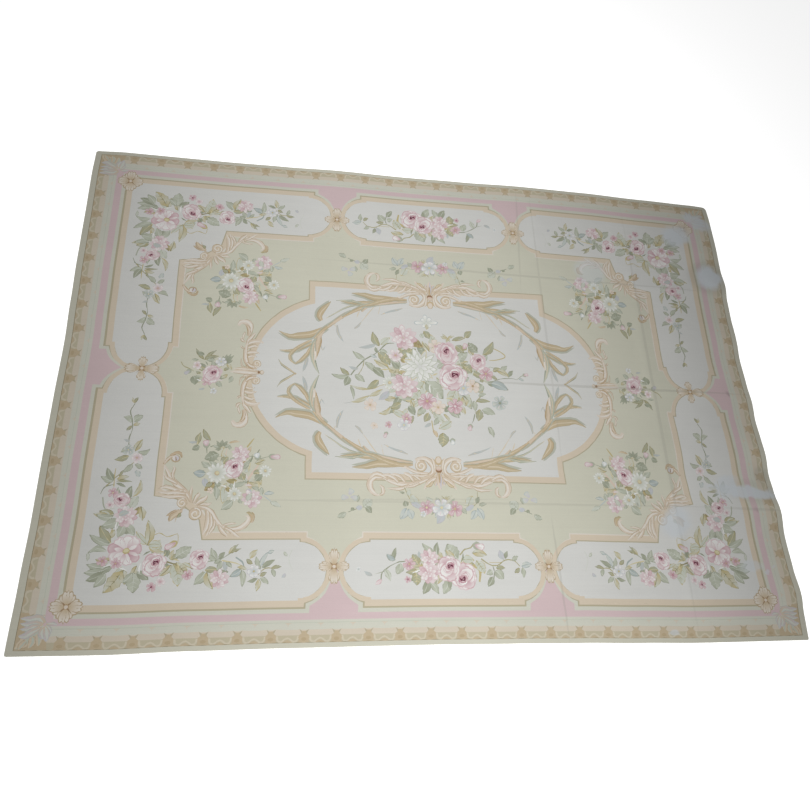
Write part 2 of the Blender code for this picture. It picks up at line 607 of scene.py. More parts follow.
@dataclass
class Florist:
    """Works the flowers and leaves into a chart, each petal and leaf a little different from the next.

    Its methods take places and sizes in millimetres. Only petal and ring take shares of a flower's radius.

    Attributes:
        chart: The chart.
        fullness: Factor for the width of every leaf.
    """

    chart: Chart
    fullness: float = 1.25

    # Widths in millimetres past which a leaf has two parted halves, a rib and side veins
    HALVES_FROM = 23
    RIB_FROM = 31
    VEINS_FROM = 55
    # In metres: a leaf's two edges together, the narrowest leaf that they are reckoned for, and its rib
    EDGE_WIDTH = 0.0045
    LEAST_WIDTH = 0.012
    RIB_WIDTH = 0.0035

    def stem(self, route: Sequence[Point], width: float = 4, yarn: Yarn = Yarn.SAGE_DARK) -> None:
        """Lay a stem that thins towards its end.

        Args:
            route: Its points.
            width: Its greatest width.
            yarn: Its yarn.
        """
        self.chart.fill(ribbon(in_metres(route), (width * MM, width * MM, width * 0.6 * MM)), yarn)

    def leaf(
        self, base: Point, tip: Point, width: float, tone: Tone = Tone.SAGE, bend: float = 0.06,
        teeth: float = 0.0,
    ) -> None:
        """Lay a leaf with a darker edge, two halves and a rib.

        Args:
            base: Where it grows from.
            tip: Its point.
            width: Its greatest width.
            tone: Its kind.
            bend: Bow of its middle to the left, as a share of its length.
            teeth: Depth of the notches in its edge.
        """
        length = math.hypot(tip[0] - base[0], tip[1] - base[1]) * MM
        turn = math.degrees(math.atan2(tip[1] - base[1], tip[0] - base[0]))
        width *= self.fullness
        share = width * MM / length
        yarns = tone.value
        steps = 8 if teeth else 6
        with self.chart.at(base[0] * MM, base[1] * MM, turn, length):
            left = leaf_side(share, bend, 1, steps, teeth)
            right = leaf_side(share, bend, -1, steps, teeth)
            self.chart.fill([(0, 0), *left, (1, 0), *right[::-1]], yarns.edge)
            inner = 1 - self.EDGE_WIDTH / max(width * MM, self.LEAST_WIDTH)
            if width < self.HALVES_FROM:
                body = leaf_side(share * 0.72, bend, 1, steps)
                under = leaf_side(share * 0.72, bend, -1, steps)
                self.chart.fill([(0.05, 0), *body, (0.94, 0), *under[::-1]], yarns.dark, yarns.light)
                return
            rib = leaf_side(share, bend, 0, 4)
            near = leaf_side(share * inner, bend, -1, steps, teeth)
            far = leaf_side(share * inner, bend, 1, steps, teeth)
            base_in = (0.05, 0)
            tip_in = (0.94, 0)
            run = ((0.1, 0), (0.95, 0))
            self.chart.fill([base_in, *near, tip_in, *rib[::-1]], yarns.dark, yarns.light, run)
            self.chart.fill([base_in, *far, tip_in, *rib[::-1]], yarns.light, yarns.dark, run)
            if width > self.RIB_FROM:
                line = [(0.0, 0.0), *rib[:-1], (0.85, bend * 0.4)]
                self.chart.fill(ribbon(line, (self.RIB_WIDTH / length, 0.002 / length), 1), yarns.rib)
            if width > self.VEINS_FROM:
                for t in (0.25, 0.45, 0.65):
                    bow = bend * 4 * t * (1 - t)
                    for side in (-1, 1):
                        end = (t + 0.14, bow + side * share * 0.33)
                        vein = ribbon([(t, bow), end], (self.RIB_WIDTH / length, 0.001), 1)
                        self.chart.fill(vein, yarns.rib)

    def leaves(self, rows: Sequence[tuple]) -> None:
        """Lay the leaves of a table: base x, base y, tip x, tip y, width, tone, then bend and teeth."""
        for base_x, base_y, tip_x, tip_y, width, tone, *form in rows:
            self.leaf((base_x, base_y), (tip_x, tip_y), width, tone, *form)

    def petal(
        self, turn: float, reach: float, width: float, yarns: tuple[Yarn, Yarn, Yarn],
        root: float = 0.15, notch: float = 0.0, belly: float = 0.8,
    ) -> None:
        """Lay a petal from the middle of a flower of radius 1.

        Args:
            turn: Its direction in degrees.
            reach: How far its end is from the middle.
            width: Its greatest width.
            yarns: Its edge, its root and its end.
            root: Where it starts.
            notch: Depth of the dent in its end.
            belly: Where it is widest, as a share of its length.
        """
        edge, inside, outside = yarns
        with self.chart.at(turn=turn):
            for size, first, last in ((1.0, edge, edge), (0.82, inside, outside)):
                half = width / 2 * size
                end = root + (reach - root) * (0.5 + 0.5 * size) if size < 1 else reach
                length = end - root
                upper = [
                    (root, half * 0.3),
                    (root + length * belly * 0.62, half * 0.88),
                    (root + length * belly, half),
                    (root + length * (0.57 + belly / 2), half * 0.5),
                ]
                middle = [(end - notch if notch else end, 0.0)]
                lower = [(x, -y) for x, y in reversed(upper)]
                run = ((root, 0), (end, 0))
                self.chart.fill([*upper, *middle, *lower], first, last, run)

    def ring(
        self, count: int, reach: float, width: float, yarns: Sequence[tuple[Yarn, Yarn, Yarn]],
        turn: float = 0.0, belly: float = 0.8,
    ) -> None:
        """Lay a round of uneven petals.

        Args:
            count: Number of petals.
            reach: Their reach from the middle of a flower of radius 1.
            width: Their width.
            yarns: Their yarns, used in turn.
            turn: Where the first one points, in degrees.
            belly: Where a petal is widest, as a share of its length.
        """
        for i in range(count):
            odd = uneven(i + count + turn)
            angle = turn + i * 360 / count + 7 * odd
            long = reach * (1 + 0.10 * uneven(i + 3 * count))
            wide = width * (1 + 0.18 * odd)
            notch = 0.07 * (i % 2) if belly > 0.7 else 0.0
            self.petal(angle, long, wide, yarns[i % len(yarns)], reach * 0.15, notch, belly)

    def rose(self, x: float, y: float, radius: float, turn: float = 0.0, pale: bool = False) -> None:
        """Lay a full rose: two rounds of petals, a light bowl with two folds, and a dark heart.

        Args:
            x: Its middle.
            y: Its middle.
            radius: Its radius.
            turn: Which way its heart lies, in degrees.
            pale: Whether its outer petals are nearly white.
        """
        chart = self.chart
        deep = (Yarn.ROSE_LIGHT, Yarn.ROSE_DEEP, Yarn.ROSE_LIGHT)
        mild = (Yarn.ROSE, Yarn.ROSE, Yarn.ROSE_PALE)
        light = (Yarn.ROSE_LIGHT, Yarn.ROSE, Yarn.WHITE)
        with chart.at(x * MM, y * MM, turn, radius * MM):
            self.ring(7, 1.0, 0.84, (light, light, mild) if pale else (deep, mild, light), 8)
            self.ring(6, 0.78, 0.70, (mild, deep, light), 30)
            bowl = Yarn.WHITE if pale else Yarn.ROSE_PALE
            across = ((-0.7, -0.3), (0.4, 0.2))
            chart.fill(oval(-0.14, -0.05, 0.58, 0.48, 15, 12), Yarn.ROSE)
            chart.fill(oval(-0.17, -0.09, 0.53, 0.42, 15, 12), bowl, Yarn.ROSE_LIGHT, across)
            for reach, yarn in ((0.44, Yarn.ROSE_LIGHT), (0.30, Yarn.ROSE)):
                fold = [(-reach, 0.14), (-reach * 0.8, -0.2), (-0.05, -reach * 0.85), (reach * 0.8, -0.22)]
                chart.fill(ribbon(fold, (0.02, 0.09, 0.03)), yarn)
            chart.fill(oval(0.18, 0.14, 0.40, 0.32, 20, 10), Yarn.ROSE_DEEP, Yarn.ROSE)
            for route, widths, yarn in (
                (((-0.10, 0.20), (0.06, 0.42), (0.38, 0.40), (0.52, 0.20)), (0.02, 0.12, 0.02), bowl),
                (((0.00, 0.08), (0.16, 0.26), (0.38, 0.24)), (0.02, 0.08, 0.02), Yarn.ROSE_LIGHT),
                (((0.00, -0.04), (0.12, 0.14), (0.34, 0.08)), (0.07, 0.26, 0.06), Yarn.MAROON),
                (((0.22, 0.18), (0.35, 0.10), (0.38, -0.08)), (0.03, 0.13, 0.03), Yarn.MAROON),
                (((0.02, 0.06), (0.18, 0.13), (0.24, 0.02)), (0.0, 0.05, 0.0), Yarn.ROSE),
            ):
                chart.fill(ribbon(route, widths), yarn)

    def peony(self, x: float, y: float, radius: float, turn: float = 0.0, white: bool = False) -> None:
        """Lay a ruffled many-petalled flower.

        Args:
            x: Its middle.
            y: Its middle.
            radius: Its radius.
            turn: Turn in degrees.
            white: Whether it is white instead of pink.
        """
        if white:
            cool = (Yarn.SAGE_LIGHT, Yarn.SAGE_PALE, Yarn.WHITE)
            warm = (Yarn.SAGE_LIGHT, Yarn.CREAM, Yarn.WHITE)
            gold = (Yarn.GOLD_LIGHT, Yarn.SAGE_PALE, Yarn.CREAM)
            rounds = (
                (1.0, 13, 0.32, (cool, gold, warm)),
                (0.78, 11, 0.28, (cool, warm)),
                (0.5, 7, 0.24, (warm, cool)),
            )
        else:
            deep = (Yarn.ROSE, Yarn.ROSE_DEEP, Yarn.ROSE_LIGHT)
            mild = (Yarn.ROSE_LIGHT, Yarn.ROSE, Yarn.ROSE_PALE)
            light = (Yarn.ROSE_LIGHT, Yarn.ROSE, Yarn.WHITE)
            rounds = (
                (1.0, 10, 0.48, (mild, light, deep)),
                (0.72, 8, 0.36, (light, light, deep)),
                (0.4, 6, 0.24, (light,)),
            )
        with self.chart.at(x * MM, y * MM, turn, radius * MM):
            for reach, count, width, yarns in rounds:
                self.ring(count, reach, width, yarns, reach * 40, 0.55 if white else 0.68)

    def daisy(self, x: float, y: float, radius: float, turn: float = 0.0, count: int = 12) -> None:
        """Lay a daisy: narrow white petals around a yellow button.

        Args:
            x: Its middle.
            y: Its middle.
            radius: Its radius.
            turn: Turn in degrees.
            count: Number of petals.
        """
        with self.chart.at(x * MM, y * MM, turn, radius * MM):
            self.ring(count, 1.0, 0.40, ((Yarn.SAGE_PALE, Yarn.SAGE_LIGHT, Yarn.WHITE),), 0, 0.6)
            self.chart.fill(oval(0, 0, 0.24, steps=8), Yarn.TAN)
            self.chart.fill(oval(0.02, 0.03, 0.17, steps=8), Yarn.BUTTER)

    def blossom(
        self, x: float, y: float, radius: float, yarns: tuple[Yarn, Yarn, Yarn], count: int = 5,
        turn: float = 0.0, heart: Yarn = Yarn.BUTTER,
    ) -> None:
        """Lay a simple open flower: one round of petals, pale strokes between them and a heart.

        Args:
            x: Its middle.
            y: Its middle.
            radius: Its radius.
            yarns: The petals' edge, root and end.
            count: Number of petals.
            turn: Turn in degrees.
            heart: Yarn of its middle.
        """
        with self.chart.at(x * MM, y * MM, turn, radius * MM):
            self.ring(count, 1.0, 4.2 / count, (yarns,))
            for i in range(count):
                angle = math.radians((i + 0.08) * 360 / count)
                stroke = [(r * math.cos(angle), r * math.sin(angle)) for r in (0.25, 0.55, 0.85)]
                self.chart.fill(ribbon(stroke, (0.02, 0.09, 0.02), 1), Yarn.ROSE_PALE)
            self.chart.fill(oval(0, 0, 0.17, steps=6), heart)

    def foliage(
        self, x: float, y: float, reach_x: float, reach_y: float, count: int, size: float,
        tones: Sequence[Tone],
    ) -> None:
        """Lay a bed of leaves that point outwards, for flowers to lie on.

        Args:
            x: Its middle.
            y: Its middle.
            reach_x: How far the leaves' bases spread along x.
            reach_y: How far they spread along y.
            count: Number of leaves.
            size: Mean length of a leaf.
            tones: Their kinds, used in turn.
        """
        for i in range(count):
            share = math.sqrt((i + 0.5) / count)
            angle = i * 2.4 + 0.4 * uneven(i)
            base = (x + reach_x * share * math.cos(angle), y + reach_y * share * math.sin(angle))
            way = angle + 0.8 * uneven(i + 50)
            length = size * (1 + 0.3 * uneven(i + 9))
            tip = (base[0] + length * math.cos(way), base[1] + length * math.sin(way))
            width = length * (0.42 + 0.10 * uneven(i + 20))
            self.leaf(base, tip, width, tones[i % len(tones)], 0.12 * uneven(i + 31), 0.12 * (i % 3 == 0))

    def strokes(
        self, x: float, y: float, reach_x: float, reach_y: float, count: int, size: float,
        yarns: Sequence[Yarn],
    ) -> None:
        """Lay loose single stitches of colour between the leaves and flowers.

        Args:
            x: Their middle.
            y: Their middle.
            reach_x: How far they spread along x.
            reach_y: How far they spread along y.
            count: Number of strokes.
            size: Mean length of a stroke.
            yarns: Their yarns, used in turn.
        """
        for i in range(count):
            share = math.sqrt((i + 0.5) / count)
            angle = i * 2.4 + 1.2
            middle = (x + reach_x * share * math.cos(angle), y + reach_y * share * math.sin(angle))
            way = angle + 1.2 * uneven(i + 70)
            half = size / 2 * (1 + 0.35 * uneven(i + 5))
            step = (half * math.cos(way), half * math.sin(way))
            bow = half * 0.3 * uneven(i + 11)
            route = [
                (middle[0] - step[0], middle[1] - step[1]),
                (middle[0] - bow * math.sin(way), middle[1] + bow * math.cos(way)),
                (middle[0] + step[0], middle[1] + step[1]),
            ]
            widths = (0.002, size * 0.22 * MM, 0.002)
            self.chart.fill(ribbon(in_metres(route), widths, 2), yarns[i % len(yarns)])

    def bud(
        self, base: Point, tip: Point, width: float, yarns: tuple[Yarn, Yarn], calyx: Yarn = Yarn.SAGE
    ) -> None:
        """Lay a bud: an oval flower in a cup of two sepals.

        Args:
            base: Where it joins its stem.
            tip: Its point.
            width: Its greatest width.
            yarns: Its dark and its light yarn.
            calyx: Yarn of its sepals.
        """
        length = math.hypot(tip[0] - base[0], tip[1] - base[1]) * MM
        turn = math.degrees(math.atan2(tip[1] - base[1], tip[0] - base[0]))
        share = width * MM / length
        with self.chart.at(base[0] * MM, base[1] * MM, turn, length):
            self.petal(0, 1.0, share, (yarns[0], yarns[0], yarns[1]), 0.15)
            streak = [(0.3, 0), (0.6, share * 0.1), (0.9, 0)]
            self.chart.fill(ribbon(streak, (0.0, share * 0.3, 0.0)), yarns[1])
            for side in (-1, 1):
                sepal = [(0, 0), (0.25, side * share * 0.42), (0.6, side * share * 0.44)]
                self.chart.fill(ribbon(sepal, (share * 0.3, share * 0.3, 0.0)), calyx)

    def tuft(self, base: Point, tips: Sequence[Point], width: float, tone: Tone) -> None:
        """Lay several leaves that grow from one point.

        Args:
            base: Their common base.
            tips: Their points.
            width: Their width.
            tone: Their kind.
        """
        for tip in tips:
            self.leaf(base, tip, width, tone)


@dataclass
class Carver:
    """Works the scrolls, fronds and reeds into a chart, from places and sizes in millimetres.

    Attributes:
        chart: The chart.
        fullness: Factor for the width of every frond.
        shadow_shift: How far a reed's shadow lies to its left, as a share of its width.
    """

    chart: Chart
    fullness: float = 1.35
    shadow_shift: float = -0.28

    def frond(
        self, route: Sequence[Point], width: float, edge: Yarn = Yarn.OUTLINE, body: Yarn = Yarn.SHELL,
        light: Yarn = Yarn.SHELL_LIGHT, root: float = 0.5, tip: float = 0.0,
    ) -> None:
        """Lay one lobe of an acanthus: an edge, a body and a light stroke along it.

        Args:
            route: Its middle from root to tip.
            width: Its greatest width.
            edge: Yarn of its edge.
            body: Yarn of its body.
            light: Yarn of its light side.
            root: Width at its root, as a share of the greatest.
            tip: Width at its tip, as a share of the greatest.
        """
        points = in_metres(route)
        full = width * self.fullness * MM
        shape = (root, 0.85, 1.0, 0.75, tip)
        steps = 3 if len(route) < 4 else 2
        self.chart.fill(ribbon(points, [full * s for s in shape], steps), edge)
        inner = max(full - 0.006, full * 0.45)
        ends = (points[0], points[-1])
        self.chart.fill(ribbon(points, [inner * s for s in shape], steps), Yarn.SHELL_DEEP, body, ends)
        streak = [inner * 0.42 * s for s in (0.0, 0.9, 1.0, 0.6, 0.0)]
        self.chart.fill(ribbon(points, streak, steps, inner * 0.12), light)

    def volute(self, x: float, y: float, radius: float, start: float, way: int = 1) -> None:
        """Lay a rolled scroll end.

        Args:
            x: Its middle.
            y: Its middle.
            radius: Its radius.
            start: Angle in degrees where its outer end comes in.
            way: 1 if it rolls in anticlockwise, -1 if clockwise.
        """
        chart = self.chart
        with chart.at(x * MM, y * MM, start, radius * MM, (1, way)):
            chart.fill(oval(0, 0, 1.0, steps=16), Yarn.OUTLINE)
            across = ((-0.8, 0.3), (0.8, -0.3))
            chart.fill(oval(0.02, 0, 0.90, steps=16), Yarn.TAN_LIGHT, Yarn.SHELL_DEEP, across)
            coil = []
            for i in range(19):
                t = i / 18
                angle = math.radians(500 * t)
                reach = 0.86 - 0.72 * t
                coil.append((reach * math.cos(angle), reach * math.sin(angle)))
            chart.fill(ribbon(coil, (0.24, 0.30, 0.22, 0.12), 1), Yarn.SHELL_LIGHT)
            chart.fill(ribbon(coil, (0.04, 0.07, 0.05, 0.02), 1, 0.13), Yarn.OUTLINE)

    def reed(
        self, route: Sequence[Point], width: float, body: tuple[Yarn, Yarn], edge: Yarn, shaded: bool = True
    ) -> None:
        """Lay a long leaf of the wreath.

        Args:
            route: Its middle from root to tip.
            width: Its greatest width.
            body: Its yarns from root to tip.
            edge: Yarn of its lower edge.
            shaded: Whether it has a soft shadow along one side.
        """
        points = in_metres(route)
        full = width * MM
        shape = (0.4, 0.8, 1.0, 0.95, 0.6, 0.0)
        widths = [full * s for s in shape]
        shift = full * self.shadow_shift
        if shaded:
            self.chart.fill(ribbon(points, widths, 2, shift), Yarn.REED_SHADOW)
        self.chart.fill(ribbon(points, widths, 2), edge)
        ends = (points[0], points[-1])
        self.chart.fill(ribbon(points, [w * 0.78 for w in widths], 2, -shift * 0.2), *body, ends)
        vein = [w * 0.16 for w in widths]
        self.chart.fill(ribbon(points, vein, 2, full * 0.06), Yarn.TAN_LIGHT)


# The border


@dataclass
class Border:
    """The running bands around the rug, with their stars, scrolling line and corner leaves.

    Attributes:
        chart: The chart.
        long_pitch: Distance between stars along the long sides.
        short_pitch: Distance between stars along the short sides.
        long_stars: Stars on each half of a long side.
        short_stars: Stars on each half of a short side.
        line_x: Half distance between the outer lines of the two short sides.
        line_y: Half distance between the outer lines of the two long sides.
    """

    chart: Chart
    long_pitch: float = 0.165
    short_pitch: float = 0.159
    long_stars: int = 12
    short_stars: int = 9
    line_x: float = 2.0975
    line_y: float = 1.4980

    # Nested rectangles from outside inwards: half side along x, half side along y, yarn
    BANDS = (
        (2.1010, 1.5010, Yarn.HEM_LINE),
        (2.0975, 1.4980, Yarn.BAND),
        (2.0630, 1.4640, Yarn.PEACH_BAND),
        (2.0310, 1.4360, Yarn.GREEN_BAND),
        (2.0070, 1.4050, Yarn.SAGE_LIGHT),
        (2.0035, 1.4015, Yarn.GREEN_BAND),
        (1.9865, 1.3900, Yarn.PINK_BAND),
    )

    # Right half of a star, from the outer line inwards: (along, in), in millimetres
    STAR = ((33, 0), (26, 7), (27, 22), (24, 36), (15, 43), (22, 63), (9, 55), (0, 54))

    # Lobes of the leaf in the near left corner: route from root to tip, width, whether it is a pale one
    CORNER_LOBES = (
        (((-1997, -1401), (-2033, -1438), (-2066, -1468), (-2096, -1490)), 44, False),
        (((-2029, -1436), (-2022, -1461), (-2036, -1488)), 28, False),
        (((-2006, -1424), (-1994, -1451), (-1994, -1480)), 26, False),
        (((-2051, -1454), (-2066, -1474), (-2078, -1494)), 22, False),
        (((-1985, -1340), (-2010, -1351), (-2044, -1350)), 16, True),
        (((-1983, -1376), (-2008, -1352), (-2044, -1356), (-2096, -1350)), 30, True),
        (((-1987, -1383), (-2019, -1375), (-2056, -1381), (-2092, -1374)), 24, True),
        (((-1992, -1387), (-2029, -1391), (-2056, -1402), (-2090, -1400)), 22, True),
        (((-1997, -1394), (-2033, -1415), (-2062, -1434), (-2090, -1432)), 26, True),
        (((-1974, -1380), (-1946, -1378), (-1922, -1384)), 14, True),
        (((-1978, -1387), (-1958, -1404), (-1944, -1424)), 20, True),
        (((-1981, -1392), (-1966, -1424), (-1962, -1462)), 28, True),
        (((-1987, -1396), (-1990, -1424), (-1976, -1450)), 22, True),
    )

    def work(self) -> None:
        """Lay the bands, then everything that repeats along them, then the corners."""
        for half_x, half_y, yarn in self.BANDS:
            self.chart.fill(box(half_x, half_y), yarn)
        sides = (
            (0, -self.line_y, 0, self.long_pitch, self.long_stars, (1, 0)),
            (0, self.line_y, 180, self.long_pitch, self.long_stars, (1, 0)),
            (-self.line_x, 0, -90, self.short_pitch, self.short_stars, (0, 1)),
            (self.line_x, 0, 90, self.short_pitch, self.short_stars, (0, 1)),
        )
        for middle_x, middle_y, turn, pitch, stars, step in sides:
            for k in range(-stars, stars):
                along = (k + 0.5) * pitch
                with self.chart.at(middle_x + along * step[0], middle_y + along * step[1], turn):
                    self.curl(pitch / MM)
                    self.star()
        for _ in self.chart.copies():
            self.corner_leaf()

    def star(self) -> None:
        """Lay one star, standing on the outer line."""
        right = in_metres(self.STAR)
        left = [(-x, y) for x, y in reversed(right[:-1])]
        self.chart.fill([*right, *left], Yarn.STAR)
        for side in (1, -1):
            horn = [(x * side, y) for x, y in ((13, 44), (17, 50), (22, 63), (9, 55))]
            self.chart.fill(in_metres(horn), Yarn.STAR_HORN)
        self.chart.fill(oval(0, 0.015, 0.015, 0.009, steps=8), Yarn.STAR_CORE)

    def curl(self, pitch: float) -> None:
        """Lay the pale scrolling line and the arrow mark after a star.

        Args:
            pitch: Distance to the next star, in millimetres.
        """
        half = pitch / 2
        rise = [(29, 31), (32, 16), (40, 6), (half - 26, 5), (half - 13, 15)]
        route = [*rise, (half, 20), *[(pitch - x, y) for x, y in reversed(rise)]]
        shade = [(half - 26, 0), (half - 12, 8), (half, 14), (half + 12, 8), (half + 26, 0)]
        self.chart.fill(in_metres(shade), Yarn.STAR)
        self.chart.fill(ribbon(in_metres(route), (0.009, 0.008, 0.009), 2), Yarn.CURL)
        mark = [(half - 17, 94), (half + 17, 94), (half + 4, 86), (half, 74), (half - 4, 86)]
        self.chart.fill(in_metres(mark), Yarn.PEACH_BAND)

    def corner_leaf(self) -> None:
        """Lay the leaf that fans over the bands of the near left corner."""
        carver = Carver(self.chart)
        inner_edge = ((-2097, -1340), (-2060, -1340), (-2010, -1392), (-1966, -1426), (-1952, -1497))
        self.chart.fill(in_metres((*inner_edge, (-2097, -1497))), Yarn.STAR)
        for route, width, pale in self.CORNER_LOBES:
            if pale:
                carver.frond(route, width, Yarn.GREY, Yarn.LILAC, Yarn.SAGE_PALE)
            else:
                carver.frond(route, width, Yarn.OUTLINE, Yarn.TAN_LIGHT, Yarn.SAGE_LIGHT)


@dataclass
class Rosettes:
    """The four-petalled rosettes where the panels meet and in the corners.

    Attributes:
        chart: The chart.
    """

    chart: Chart

    PETALS = (Yarn.OUTLINE, Yarn.TAN, Yarn.SHELL_LIGHT)

    # x, y, reach along x, reach along y, half spread of a petal in degrees
    PLACES = (
        (0.600, 1.120, 0.083, 0.094, 12),
        (1.700, 0.000, 0.096, 0.076, 12),
        (1.900, 1.300, 0.078, 0.078, 21),
    )

    def work(self) -> None:
        """Lay each rosette and its mirrored copies."""
        for x, y, reach_x, reach_y, spread in self.PLACES:
            for mirror_x in (1, -1):
                for mirror_y in (1, -1) if y else (1,):
                    with self.chart.at(mirror=(mirror_x, mirror_y)), self.chart.at(x, y):
                        self.rosette(reach_x, reach_y, spread)

    def rosette(self, reach_x: float, reach_y: float, spread: float) -> None:
        """Lay one rosette around the place.

        Args:
            reach_x: Reach of its petals along x.
            reach_y: Reach of its petals along y.
            spread: Half spread of a petal in degrees.
        """
        chart = self.chart
        florist = Florist(chart)
        width = 0.12 + 0.022 * spread
        arms = ((0, reach_x), (90, reach_y), (180, reach_x), (270, reach_y))
        for turn, reach in arms:
            with chart.at(turn=turn, size=reach):
                for side in (1, -1):
                    florist.petal(spread * 1.25 * side, 0.88, width * 0.8, self.PETALS, 0.1, 0.04, 0.74)
                for side in (1, -1):
                    florist.petal(spread * 0.6 * side, 1.0, width * 0.72, self.PETALS, 0.1, 0, 0.68)
                florist.petal(0, 1.05, width * 0.4, self.PETALS, 0.1, 0, 0.6)
        for turn in (45, 135, 225, 315):
            with chart.at(turn=turn):
                spike = ((0.004, -0.005), (0.044, 0), (0.004, 0.005))
                chart.fill(spike, Yarn.BROWN_DARK, Yarn.OUTLINE, ((0.01, 0), (0.044, 0)))
        chart.fill(oval(0, 0, 0.013, steps=9), Yarn.BROWN)
        chart.fill(oval(0, 0.001, 0.0095, steps=8), Yarn.SHELL)


# The panels


# The inner corner of an L panel in the far right quarter: beside the cream, and beside the field
BITE_CREAM = (
    (1.557, 0.742), (1.437, 0.761), (1.400, 0.800), (1.345, 0.845), (1.316, 0.872), (1.294, 0.978),
)
BITE_FIELD = (
    (1.515, 0.705), (1.410, 0.728), (1.360, 0.770), (1.310, 0.810), (1.275, 0.860), (1.252, 0.936),
)
BITE_DEPTH = 0.042


@dataclass
class Panels:
    """The cream panels between border and field, each with its moulded frame.

    Attributes:
        chart: The chart.
        outer_x: Where the cream ends beside the short sides' border.
        outer_y: Where the cream ends beside the long sides' border.
        inner_x: Where the upright arm's cream ends beside the field.
        inner_y: Where the level arm's cream ends beside the field.
        arm_tip: Middle of the round end of an L panel's upright arm.
        level_tip: Middle of the round end of its level arm.
        oblong_tip: Middle of the round ends of an oblong panel.
        tip_radius: Radius of the round ends.
        swell: How much a round end grows for each metre of offset.
    """

    chart: Chart
    outer_x: float = 1.882
    outer_y: float = 1.2925
    inner_x: float = 1.557
    inner_y: float = 0.978
    arm_tip: Point = (1.720, 0.157)
    level_tip: Point = (0.787, 1.136)
    oblong_tip: Point = (0.405, 1.135)
    tip_radius: float = 0.146
    swell: float = 0.75

    # From the lowest layer up: offset on the border's side, offset on the field's side, yarn
    LAYERS = (
        (0.065, 0.000, Yarn.GREEN_BAND),
        (0.000, 0.044, Yarn.FRAME_LIGHT),
        (0.043, 0.000, Yarn.OLIVE_LINE),
        (0.033, 0.038, Yarn.FRAME),
        (0.000, 0.006, Yarn.OLIVE_LINE),
        (0.000, 0.000, Yarn.CREAM),
    )

    def work(self) -> None:
        """Lay the field, then every panel layer by layer, so that a frame covers its neighbour's edge."""
        self.chart.fill(box(self.arm_tip[0], self.level_tip[1]), Yarn.FIELD)
        for outer, inner, yarn in self.LAYERS:
            for mirror_y in (1, -1):
                for mirror_x in (1, -1):
                    with self.chart.at(mirror=(mirror_x, mirror_y)):
                        self.chart.fill(self.corner_panel(outer, inner), yarn)
                with self.chart.at(mirror=(1, mirror_y)):
                    self.chart.fill(self.oblong_panel(outer, inner), yarn)

    def round_end(self, tip: Point, offsets: Point, angles: Point) -> Outline:
        """Give the round end of an arm, whose radius runs from one side's offset to the other's.

        Args:
            tip: Middle of the end.
            offsets: Offsets of the first and the last side.
            angles: Directions of the first and the last point, in degrees.

        Returns:
            Its points, from the first side to the last.
        """
        steps = 16
        points = []
        for i in range(steps + 1):
            t = i / steps
            radius = self.tip_radius + self.swell * (offsets[0] + (offsets[1] - offsets[0]) * t)
            a = math.radians(angles[0] + (angles[1] - angles[0]) * t)
            points.append((tip[0] + radius * math.cos(a), tip[1] + radius * math.sin(a)))
        return points

    def lean(self, step: float, offset: float) -> float:
        """Give the angle in degrees at which a round end meets a shoulder at a step from its middle."""
        return math.degrees(math.asin(step / (self.tip_radius + self.swell * offset)))

    def corner_panel(self, outer: float, inner: float) -> Outline:
        """Give the outline of the L panel in the far right quarter.

        Args:
            outer: Offset outwards on the border's side.
            inner: Offset outwards on the field's side.

        Returns:
            The outline.
        """
        share = inner / BITE_DEPTH
        pairs = zip(BITE_CREAM, BITE_FIELD)
        bite = [(a + (c - a) * share, b + (d - b) * share) for (a, b), (c, d) in pairs]
        bite[0] = (self.inner_x - inner, bite[0][1])
        bite[-1] = (bite[-1][0], self.inner_y - inner)
        down_outer = 0.160 - 0.74 * outer
        down_inner = 0.173 - 0.70 * inner
        middle = self.arm_tip[1]
        left = self.level_tip[0]
        sides = (self.lean(down_outer - middle, outer), -180 - self.lean(down_inner - middle, inner))
        arm = self.round_end(self.arm_tip, (outer, inner), sides)
        sides = (270 - self.lean(inner, inner), 90 + self.lean(outer, outer))
        level = self.round_end(self.level_tip, (inner, outer), sides)
        return [
            (self.outer_x + outer, self.outer_y + outer),
            (self.outer_x + outer, down_outer),
            *arm,
            (self.inner_x - inner, down_inner),
            *bite,
            (left - inner, self.inner_y - inner),
            *level,
            (left - outer, self.outer_y + outer),
        ]

    def oblong_panel(self, outer: float, inner: float) -> Outline:
        """Give the outline of the oblong panel on the far side.

        Args:
            outer: Offset outwards on the border's side.
            inner: Offset outwards on the field's side.

        Returns:
            The outline.
        """
        reach = self.oblong_tip[0]
        sides = (self.lean(inner, inner) - 90, 90 - self.lean(outer, outer))
        right = [
            (reach + inner, self.inner_y - inner),
            *self.round_end(self.oblong_tip, (inner, outer), sides),
            (reach + outer, self.outer_y + outer),
        ]
        return [*right, *[(-x, y) for x, y in reversed(right)]]


# The medallion with its ornaments


